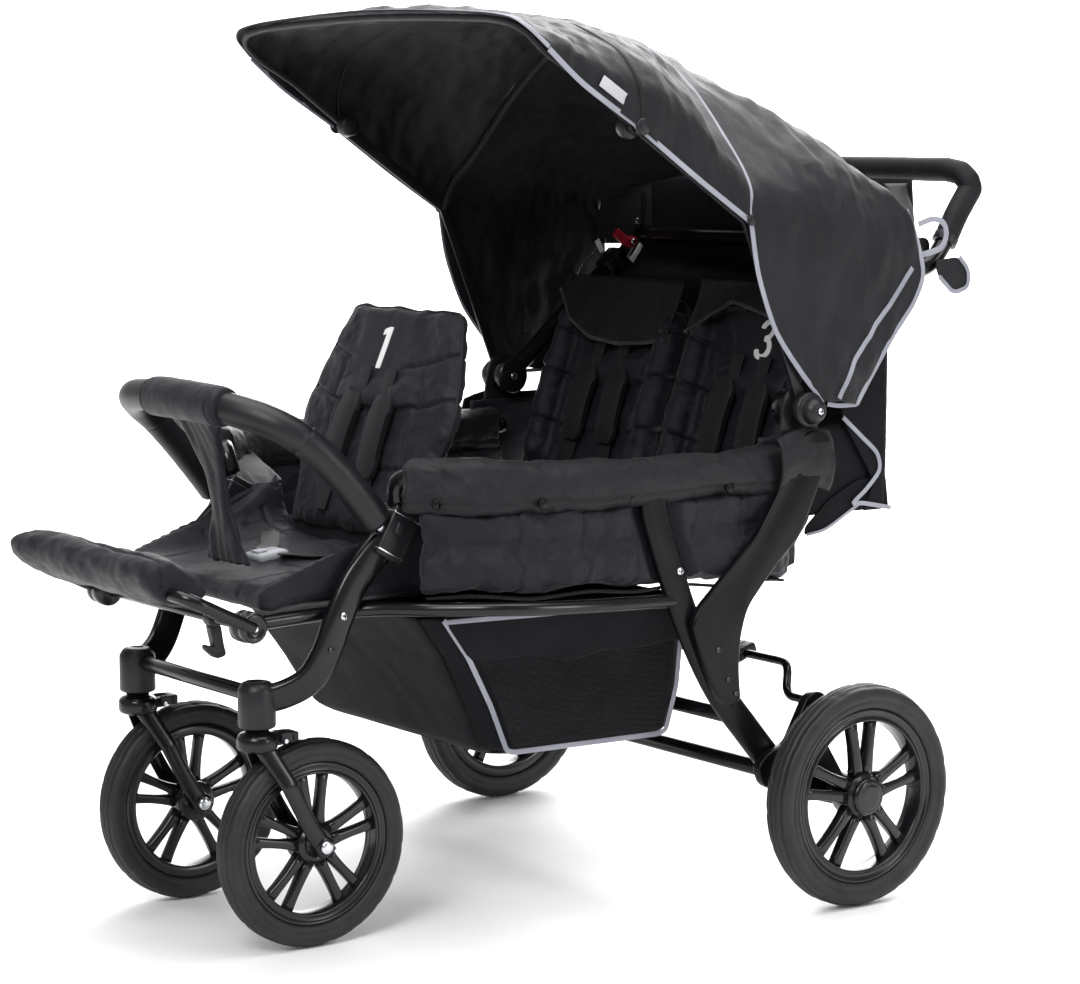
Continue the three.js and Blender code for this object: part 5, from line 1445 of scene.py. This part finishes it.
def crotch_piece():
    wrap_line = [(36 + u * 84, -805 + 4.4 * (u + 0.4) ** 2, 696 - 2.2 * (u + 0.4) ** 2)
                 for u in np.linspace(-1, 1, 41)]
    ends = [min(1.0, 0.9 + 0.1 * (min(t, 1 - t) * 40) ** 0.5) for t in np.linspace(0, 1, 41)]
    wrap = sweep("wrap", wrap_line, 26, 26, CLOTH, 56, scale=ends)
    rows = catmull(np.array(WRAP_ROWS, dtype=float), 60)
    rings = []
    for z, y, width, deep in rows:
        sect = oval(width * 1.05, deep * 0.62, 44, 0.7)
        rings.append(place(np.stack([36 + sect[:, 0], y + sect[:, 1], np.full(44, z)], axis=1)))
    tongue = rings_mesh("tongue", rings, CLOTH)
    obj = join("crotch_cover_cloth", [wrap, tongue])
    remesh(obj, 0.003, 5)

    def amount(p):
        x, y, z = mm(p)
        d = 0.0009 * waves(Vector((x * 0.9, y, z * 0.8)) * 0.03)
        if z < 668:
            d += 0.0034 * noise.noise(Vector((x * 0.075, y * 0.02, z * 0.012))) * (0.4 + 0.6 * abs(z - 590) / 90)
        else:
            d += groove(abs(x - 36) - 76, 1.6, 0.002)
        return d

    push(obj, amount)
    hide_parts("crotch_cover")
    between(obj, (0, -748, 490), (0, -800, 686))


crotch_piece()

# Hood: one curved cloth from the front edge over the arch to the rear window
front_line = [[353, -474, 1135], [346, -499, 1158], [324, -508, 1171], [272, -509, 1178], [200, -510, 1182],
              [100, -510, 1186], [0, -510, 1188]]
visor_line = [[353, -418, 1090], [345, -425, 1132], [302, -428, 1158], [215, -430, 1177], [110, -430, 1186],
              [0, -430, 1191]]
knob_line = [[355, -328, 1034], [350, -330, 1090], [314, -334, 1132], [228, -337, 1166], [118, -338, 1183],
             [0, -338, 1190]]
mid_line = [[356, -238, 972], [345, -232, 1040], [306, -228, 1086], [216, -226, 1140], [110, -232, 1172],
            [0, -240, 1183]]
arch_line = [[356, -149, 916], [343, -140, 957], [304, -130, 996], [204, -126, 1088], [102, -132, 1149],
             [0, -150, 1167]]
arch_long_line = [[356, -22, 676], [357, -60, 714], [357, -106, 772], [357, -136, 845], [356, -148.4, 916],
                  [343, -139.4, 957], [304, -129.4, 996], [204, -125.4, 1088], [102, -131.4, 1149],
                  [0, -149.4, 1167]]
crest_line = [[356, -4, 674], [358, -4, 716], [358, -14, 772], [359, -6, 845], [357, 6, 912], [341, 6, 960],
              [304, 4, 1001], [204, 12, 1058], [102, 18, 1086], [0, 20, 1095]]
fall_line = [[356, 6, 674], [358, 34, 714], [358, 62, 762], [358, 84, 828], [356, 96, 880], [341, 98, 936],
             [312, 94, 968], [204, 108, 1006], [102, 116, 1019], [0, 118, 1023]]
rear_line = [[356, 38, 668], [357, 62, 704], [357, 102, 758], [357, 138, 800], [356, 156, 838],
             [351, 149, 884], [336, 142, 926], [204, 176, 962], [102, 190, 966], [0, 194, 966]]


def cloth_piece(name, lines, rows, cols):
    grid = cloth_grid(lines, rows, cols)
    normals = grid_normals(grid)
    bumps = np.zeros(grid.shape[:2])
    for r in range(rows):
        for c in range(cols):
            bumps[r, c] = hood_dent(*grid[r, c], r / (rows - 1))
    grid = grid + normals * bumps[:, :, None]
    return grid_mesh(name, place(grid), HOOD_CLOTH, 1.6), grid


def grid_area(grid):
    """Flat area of a grid of millimetre points, in square metres."""
    a = grid[1:, :-1] - grid[:-1, :-1]
    b = grid[:-1, 1:] - grid[:-1, :-1]
    c = grid[1:, 1:] - grid[:-1, 1:]
    d = grid[1:, 1:] - grid[1:, :-1]
    return float((np.linalg.norm(np.cross(a, b), axis=2)
                  + np.linalg.norm(np.cross(c, d), axis=2)).sum() / 2 / 1e6)


def hood_dent(x, y, z, v):
    """Slack between the bows: small folds that fade at the seams."""
    hold = math.sin(math.pi * min(max(v, 0), 1)) ** 0.5
    a = noise.fractal(Vector((x * 0.9, y * 1.5, z * 0.7)) * 0.012, 0.6, 2.0, 3)
    b = crumple(Vector((x * 0.5, y * 0.8, z * 0.5 + 7)) * 0.011)
    c = math.sin((x * 0.55 + y * 0.9 - z * 0.8) * 0.021 + 2.2 * noise.noise(Vector((x, y, z)) * 0.006))
    return (7.0 * a - 3.2 * b + 1.8 * c) * hold


for name, node, body, lines, rows, cols in (
        ("hood_top_cloth", "hood_panel", "hood", [knob_line, mid_line, arch_line], 46, 150),
        ("visor_cloth", "visor_canopy", "visor", [front_line, visor_line, knob_line], 40, 150),
        ("hood_rear_cloth", "hood_rear_panel", "hood", [arch_long_line, crest_line, fall_line, rear_line], 90,
         190)):
    obj, grid = cloth_piece(name, lines, rows, cols)
    area = grid_area(grid)
    high = float(np.linalg.norm(np.diff(grid[:, cols // 2], axis=0), axis=1).sum()) / 1000
    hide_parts(node)
    if name == "hood_rear_cloth":
        slack(obj)
    elif name == "visor_cloth":
        between(obj, (0, -330, 1100), (0, -420, 1130))
    else:
        cloth(obj, body)


def edge_band(name, line, width, body, lift, material, toward):
    """Binding tape along one seam of the hood, in millimetres."""
    pts = catmull(both_halves(line), 200)
    pts = even(pts, 220)
    normals = np.stack([pts[:, 0], np.zeros(len(pts)), (pts[:, 2] - 880) * 0.9], axis=1)
    path = pts + normals / np.linalg.norm(normals, axis=1)[:, None] * lift + np.asarray(toward, dtype=float)
    cloth(strip(name, path, normals, width, 0.9, material), body)


def route_band(name, route, width, body, material=TAPE, lift=1.0, count=80, onto=None):
    """Binding tape along a side edge of the hood or curtain, on both sides of the stroller."""
    for tag, s in SIDES:
        pts = catmull([(s * (x + lift), y, z) for x, y, z in route], count)
        pts = even(pts, count)
        for k, p in enumerate(pts if onto else ()):
            hit = onto.ray_cast(Vector(place([(s * 420, p[1], p[2])])[0]), Vector((-s, 0, 0)))[0]
            if hit is not None and abs(hit.x) > 0.3:
                pts[k, 0] = hit.x * 1000 + s * lift
        tape = strip("%s_%s" % (name, tag), pts, (s, 0, 0), width, 0.9, material)
        if body == "rear":
            slack(tape)
        else:
            cloth(tape, body)


edge_band("hood_front_binding", front_line, 7, "visor", 0.8, TAPE, (0, 2.4, 0))
edge_band("hood_arch_binding", arch_line, 6, "hood", 1.1, TAPE, (0, 0, 0))
edge_band("hood_knob_seam", knob_line, 6, "hood", 0.9, HOOD_CLOTH, (0, 2.0, 0))
route_band("visor_side_binding", [(353, -472, 1133), (353, -418, 1090), (355, -334, 1038)], 7, "visor")
route_band("hood_side_binding", [(355, -326, 1032), (356, -238, 972), (356, -152, 917)], 7, "hood")
arm_edge = [(356, -149, 915), (357, -136, 845), (357, -106, 772), (357, -60, 714), (356, -20, 675)]
route_band("hood_arm_binding", arm_edge, 7, "rear")
route_band("hood_rear_seam", [(358, 4, 678), (359.5, 29, 727), (360.5, 87, 794), (359, 135, 848)], 7, "rear",
           lift=0.9, onto=surface(bpy.data.objects["hood_rear_cloth"]))
route_band("hood_rear_binding", [tuple(p) for p in rear_line[:7]], 7, "rear")
route_band("hood_low_binding", [(356, -14, 671), (356, 8, 668), (356, 38, 668)], 6, "rear", count=16)

# Small bound strap and tongue beside each handle tube
for tag, s in SIDES:
    loop = [(150, 862), (176, 866), (202, 872), (212, 890), (206, 908), (186, 914), (158, 906)]
    ring = soften([(s * 344, y, z) for y, z in loop], 70, 14)
    slack(strip("hood_strap_" + tag, ring, (s, 0, 0), 8, 1.2, TAPE))
    shape = rounded([(192, 856), (236, 860), (254, 842), (254, 818), (226, 810), (198, 834)], 10)
    slack(plate("hood_tongue_" + tag, shape, 341, 2.2, HOOD_CLOTH, 0.6, s))
    edge = [(236, 860), (254, 842), (254, 818), (226, 810), (198, 834)]
    rim = soften([(s * 344, y, z) for y, z in edge], 60, 10)
    slack(strip("hood_tongue_binding_" + tag, rim, (s, 0, 0), 6, 0.9, TAPE))
    gusset = []
    for z in np.linspace(858, 960, 22):
        far = float(np.interp(z, [838, 884, 926, 960], [356.5, 352, 338, 296]))
        row = catmull(np.array([(s * far, 138, z), (s * (far * 0.6 + 121), 166, z),
                                (s * (far * 0.3 + 202), 184, z), (s * 286, 196, z)]), 16)
        gusset.append(place(row))
    slack(grid_mesh("hood_gusset_" + tag, gusset, HOOD_CLOTH, 1.4))
cloth(block("hood_tag_blank", (1.4, 46, 15), (355.6, -372, 1083), TAG, -32, 0.5), "visor")

# Rear curtain
curtain_rows = [[966, 300, 184, 196], [880, 302, 186, 200], [838, 302, 172, 188], [812, 340.5, 128, 152],
                [790, 340.5, 100, 132], [750, 340.5, 66, 122], [700, 340.5, 36, 121], [655, 340.5, 26, 121],
                [600, 340, 60, 121], [560, 339, 84, 121], [520, 338, 70, 121]]


def curtain_piece():
    grid = []
    for z, half, front, back in catmull(np.array(curtain_rows, dtype=float), 70):
        line = [(half, front, z), (half, (front + back) / 2, z), (half - 1, back - 14, z),
                (half - 12, back - 2, z), (half * 0.7, back + 3, z), (half * 0.35, back + 5, z), (0, back + 6, z)]
        grid.append(even(both_halves(line), 150))
    grid = np.asarray(grid)
    for r in range(grid.shape[0]):
        for c in range(grid.shape[1]):
            x, y, z = grid[r, c]
            wave = 2.6 * noise.fractal(Vector((x * 1.4, 0.0, z * 0.35)) * 0.02, 0.6, 2.0, 2)
            grid[r, c, 1] += -abs(wave) if y > 150 else 0
    obj = grid_mesh("rear_curtain_cloth", place(grid), LINING, 1.4)
    cloth(obj, "chassis", "rear_curtain")


curtain_piece()
wing_line = [(340, 28, 650), (340, 62, 622), (340, 90, 598), (340, 95, 574), (340, 72, 550), (340, 48, 532),
             (340, 66, 531), (339, 118, 521)]
flap = [(118, 520), (66, 531), (4, 500), (-34, 494), (-32, 506), (10, 540), (60, 562), (112, 566)]
for tag, s in SIDES:
    shade = [[(s * (334 - 4 * v), -36 + 140 * v, z) for v in np.linspace(0, 1, 8)]
             for z in np.linspace(520, 640, 12)]
    cloth(grid_mesh("curtain_lining_" + tag, place(shade), LINING, 1.2), "chassis")
    cloth(plate("curtain_flap_" + tag, rounded(flap, 6), 334.5, 2.0, LINING, 0.5, s), "chassis")
    cover = []
    for q in np.linspace(-104, -12, 26):
        low = 556 + 10 * math.cos((q + 60) / 30)
        top = 641 - 7 * ((q + 50) / 44) ** 2
        cover.append(place([(s * (349 + 22.5 * math.sin(math.pi * v * 0.86 + 0.2) ** 0.5), q,
                             top + (low - top) * v) for v in np.linspace(0, 1, 22)]))
    obj = grid_mesh("sleeve_end_" + tag, cover, SLEEVE, 2.4)
    push(obj, lambda p: 0.0022 * waves(Vector(mm(p)) * 0.03))
    cloth(obj, "chassis")
route_band("curtain_wing_binding", wing_line, 6, "chassis", lift=1.4)
route_band("curtain_flap_binding", [(337, 64, 531), (337, 4, 501), (337, -32, 495)], 4, "chassis", lift=1.0,
           count=30)

# Hood arms and bows
def arm_line(points, half):
    """Outline of a flat arm along points in side view."""
    p = np.asarray(points, dtype=float)
    left, right = [], []
    for i in range(len(p)):
        d = p[min(i + 1, len(p) - 1)] - p[max(i - 1, 0)]
        d /= np.linalg.norm(d)
        left.append((p[i][0] - d[1] * half, p[i][1] + d[0] * half))
        right.insert(0, (p[i][0] + d[1] * half, p[i][1] - d[0] * half))
    return left + right


def inset(line, by):
    """A hood line drawn in by a distance, for the bow under the cloth."""
    out = []
    for x, y, z in line:
        reach = math.hypot(x, z - 880)
        out.append((x - x / reach * by, y, z - (z - 880) / reach * by))
    return out


bits = [sweep("arch", centripetal(both_halves(inset(arch_line, 9.35)), 160), 5, 5, HOOD_CLOTH, 20,
              first=(0, 1, 0))]
for tag, s in SIDES:
    bits.append(plate("arm", arm_line([HUB, (-149, 918), KNOB], 8), 345, 5, PLASTIC, 1.4, s))
    bits.append(lathe("arm_disc", [(6.4, 345), (18.6, 345), (20, 346), (20, 349.2), (18.8, 350), (6.4, 350)],
                      PLASTIC, (0, *HUB), "X", 48, s))
    bits.append(lathe("knob_disc", [(0, 318), (12, 318), (14, 319.6), (16, 332), (15.2, 333.6), (0, 333.6)],
                      PLASTIC, (0, *KNOB), "X", 48, s))
    bits.append(rod("knob_pin", (s * 330, *KNOB), (s * 347, *KNOB), 4, CHROME))
steel(join("hood_frame_bows", bits), "hood", "hood_frame")
bow = [(339.5, *KNOB), (339.5, -414, 1100)] + [(min(x, 339.5), y + 7, z) for x, y, z in inset(front_line, 8.85)]
bits = [sweep("bow", soften(both_halves(bow), 200, 14), 4.5, 4.5, HOOD_CLOTH, 20, first=(1, 0, 0))]
for tag, s in SIDES:
    bits.append(rod("eye", (s * 334.5, *KNOB), (s * 344.5, *KNOB), 9, PLASTIC))
steel(join("visor_bow_rod", bits), "visor", "visor_bow")
for tag, s in SIDES:
    for name, y, z, r in (("hood_knob", *KNOB, 11), ("hood_rivet", -149, 918, 7.5)):
        profile = [(0, 4.6), (r * 0.42, 4.6), (r * 0.5, 3.8), (r * 0.84, 3.4), (r, 2.0), (r, -1), (0, -1)]
        cap = lathe("%s_%s" % (name, tag), profile, PLASTIC, (s * 357.6, y, z), "X", 40, s)
        mould(cap, "hood")


# Basket: an open tub that spreads from its floor to its rim, netting in both sides
BASKET = [[224, -462, -180, 222, 238], [236, -474, -174, 230, 246], [300, -510, -176, 246, 270],
          [370, -556, -190, 262, 296], [426, -604, -208, 276, 324]]


def basket_row(z):
    return [float(np.interp(z, [row[0] for row in BASKET], [row[k] for row in BASKET])) for k in range(5)]


def basket_wall(z, u, s, inward=1.0):
    """Point on a side wall of the basket: u runs from front to rear."""
    _, front, rear, half_front, half_rear = basket_row(z)
    c = 24
    y = front + c + (rear - c - front - c) * u
    half = half_front + (half_rear - half_front) * u - inward
    belly = 3.0 * math.sin(math.pi * u) * math.sin(math.pi * (z - 224) / 202)
    return s * (half + belly), y, z


def basket_piece():
    loops = []
    for z in np.linspace(225, 425, 44):
        _, front, rear, hf, hr = basket_row(z)
        c = 24
        low = max(0.0, 1 - (z - 225) / 16)
        ring = [(hf - c, front), (hf, front + c), (hr, rear - c), (hr - c, rear), (c - hr, rear), (-hr, rear - c),
                (-hf, front + c), (c - hf, front)]
        ring = soften([(x, y, 0) for x, y in ring + ring[:2]], 180, 16)[:-1]
        mid = np.array([0, (front + rear) / 2, 0])
        ring = mid + (ring - mid) * (1 - 0.05 * low ** 2)
        sway = [1.6 * noise.noise(Vector((x * 0.02, y * 0.02, z * 0.02))) for x, y, _ in ring]
        n = (ring - mid) / np.linalg.norm(ring - mid, axis=1)[:, None]
        loops.append(place(np.stack([ring[:, 0], ring[:, 1], np.full(len(ring), z)], axis=1)
                           + n * (np.array(sway)[:, None] - 3.2)))
    wall = grid_mesh("wall", loops, LINING, 3.0, wrap=True)
    floor_rows = []
    for v in np.linspace(0, 1, 30):
        y = -456 + 258 * v
        half = 214 + 14 * v
        floor_rows.append([(half * u, y, 227 + 3 * abs(u) ** 4 - 1.5 * (1 - u * u))
                           for u in np.linspace(-1, 1, 40)])
    bottom = grid_mesh("bottom", place(floor_rows), LINING, 3.0)
    lining(join("basket_tub", [wall, bottom]), "chassis", "basket")
    for tag, s in SIDES:
        net = [[basket_wall(z, u, s, -0.6) for u in np.linspace(0.04, 0.97, 60)]
               for z in np.linspace(238, 372, 30)]
        lining(grid_mesh("basket_net_%s" % tag, place(net), NET, 0.8), "chassis")
        band = [[basket_wall(z, u, s, -0.8) for u in np.linspace(0.0, 1.0, 60)]
                for z in np.linspace(366, 421, 14)]
        for k, row in enumerate(band):
            for i, (bx, by, bz) in enumerate(row):
                u = i / 59
                wave = 9 * math.sin(math.pi * u) ** 2 + 4 * math.sin(u * 17) * math.sin(math.pi * u)
                hang = (1 - k / 13) * wave
                row[i] = (bx + s * 2.2 * math.sin(math.pi * k / 13), by, bz - hang)
        lining(grid_mesh("basket_band_%s" % tag, place(band), LINING, 1.2), "chassis")
        rim = [basket_wall(z, 0.0, s, -1.2) for z in np.linspace(424, 234, 30)]
        rim += [basket_wall(230, u, s, -1.2) for u in np.linspace(0.03, 0.97, 40)]
        rim += [basket_wall(z, 1.0, s, -1.2) for z in np.linspace(234, 424, 30)]
        lining(strip("basket_binding_%s" % tag, soften(rim, 220, 12), (s, 0, 0), 7, 1.0, TAPE), "chassis")
        top = [basket_wall(421, u, s, -1.2) for u in np.linspace(0, 1, 40)]
        lining(strip("basket_top_binding_%s" % tag, top, (s, 0, 0), 6, 1.0, TAPE), "chassis")


NET, basket_tree, basket_bsdf = material("basket_net", (0.0045, 0.0048, 0.0062), 0.7, sheen=0.02, specular=0.12)
at = tint(basket_tree, basket_bsdf, (0.0030, 0.0032, 0.0042), (0.0065, 0.0068, 0.0086), 14.0)
bump(basket_tree, basket_bsdf, weave(basket_tree, at, 0.0032), 0.0009, 0.8)
basket_piece()

# Buckle and its release button
buckle = [block("shell", (42, 46, 13), (0, -668, 482.2), BUCKLE, 6, 5)]
mould(join("harness_buckle_shell", buckle), "chassis", "harness_buckle")
mould(block("buckle_button_cap", (19, 15, 5), (0, -680, 488.2), BUCKLE, 6, 1.6), "buckle_release",
      "buckle_button")


# Seat numbers: plain strokes, slightly slanted
STROKES = {"1": [(-9, 17), (-9, 25), (2, 29), (10, 29), (10, -29), (-1, -29), (-1, 19)],
           "3": [(-16, 16), (-8, 14), (-5, 20), (0, 22), (6, 20), (8, 14), (5, 7), (-3, 5), (-3, -3), (5, -4),
                 (9, -12), (6, -20), (0, -22), (-6, -20), (-8, -14), (-17, -16), (-14, -24), (-6, -29),
                 (2, -29.5), (11, -27), (17, -20), (17.5, -11), (14, -3), (9, 1), (14, 7), (16, 15), (13, 23),
                 (7, 28), (-1, 29.5), (-10, 27), (-15, 21)]}


def number(text, body, back, centre_u, height):
    """A number on a back's face, about its middle, in millimetres."""
    outline = STROKES[text]
    pts = soften([(u + 0.1 * v, v, 0) for u, v in outline + outline[:1]], 90, 2.4)[:-1]
    rear, front = [place([on_back(back, centre_u + u, height + v, off) for u, v, _ in pts])
                   for off in (-2.0, 3.4)]
    cloth(angle_smooth(rings_mesh("seat_number_" + text, [rear, front], PRINT), 40), body)


def apron(tag, body, back, low_edge, high):
    """Loose cloth over the upper part of a back, down to its low edge."""
    rows = []
    for u in np.linspace(-140, 136, 46):
        low = float(np.interp(u, *zip(*low_edge)))
        row = []
        for v in np.linspace(0, 1, 18):
            off = 13 + 9 * (1 - v) ** 2 + 3 * noise.noise(Vector((u * 0.03, v * 1.2, back[3])))
            row.append(on_back(back, u, low + (high - low) * v, off))
        rows.append(row)
    grid = np.array(rows)
    cloth(grid_mesh("seat_apron_" + tag, place(grid), HOOD_CLOTH, 1.6), body)
    cloth(piping("seat_apron_edge_" + tag, even(grid[:, 0], 60), 2.2, TRIM), body)


TRIM = fabric("dark_piping", (0.012, 0.0125, 0.017), (0.02, 0.0205, 0.026), crease=0.0002)
apron("right", "back2", BACK2, [(-140, 296), (-100, 252), (-40, 226), (30, 220), (100, 226), (136, 232)], 322)
apron("left", "back3", BACK3, [(-140, 246), (-100, 270), (-52, 296), (0, 286), (60, 272), (136, 262)], 328)

number("1", "back1", BACK1, -14, 253)
number("3", "back3", BACK3, 14, 250)

scene.view_settings.view_transform = "Standard"
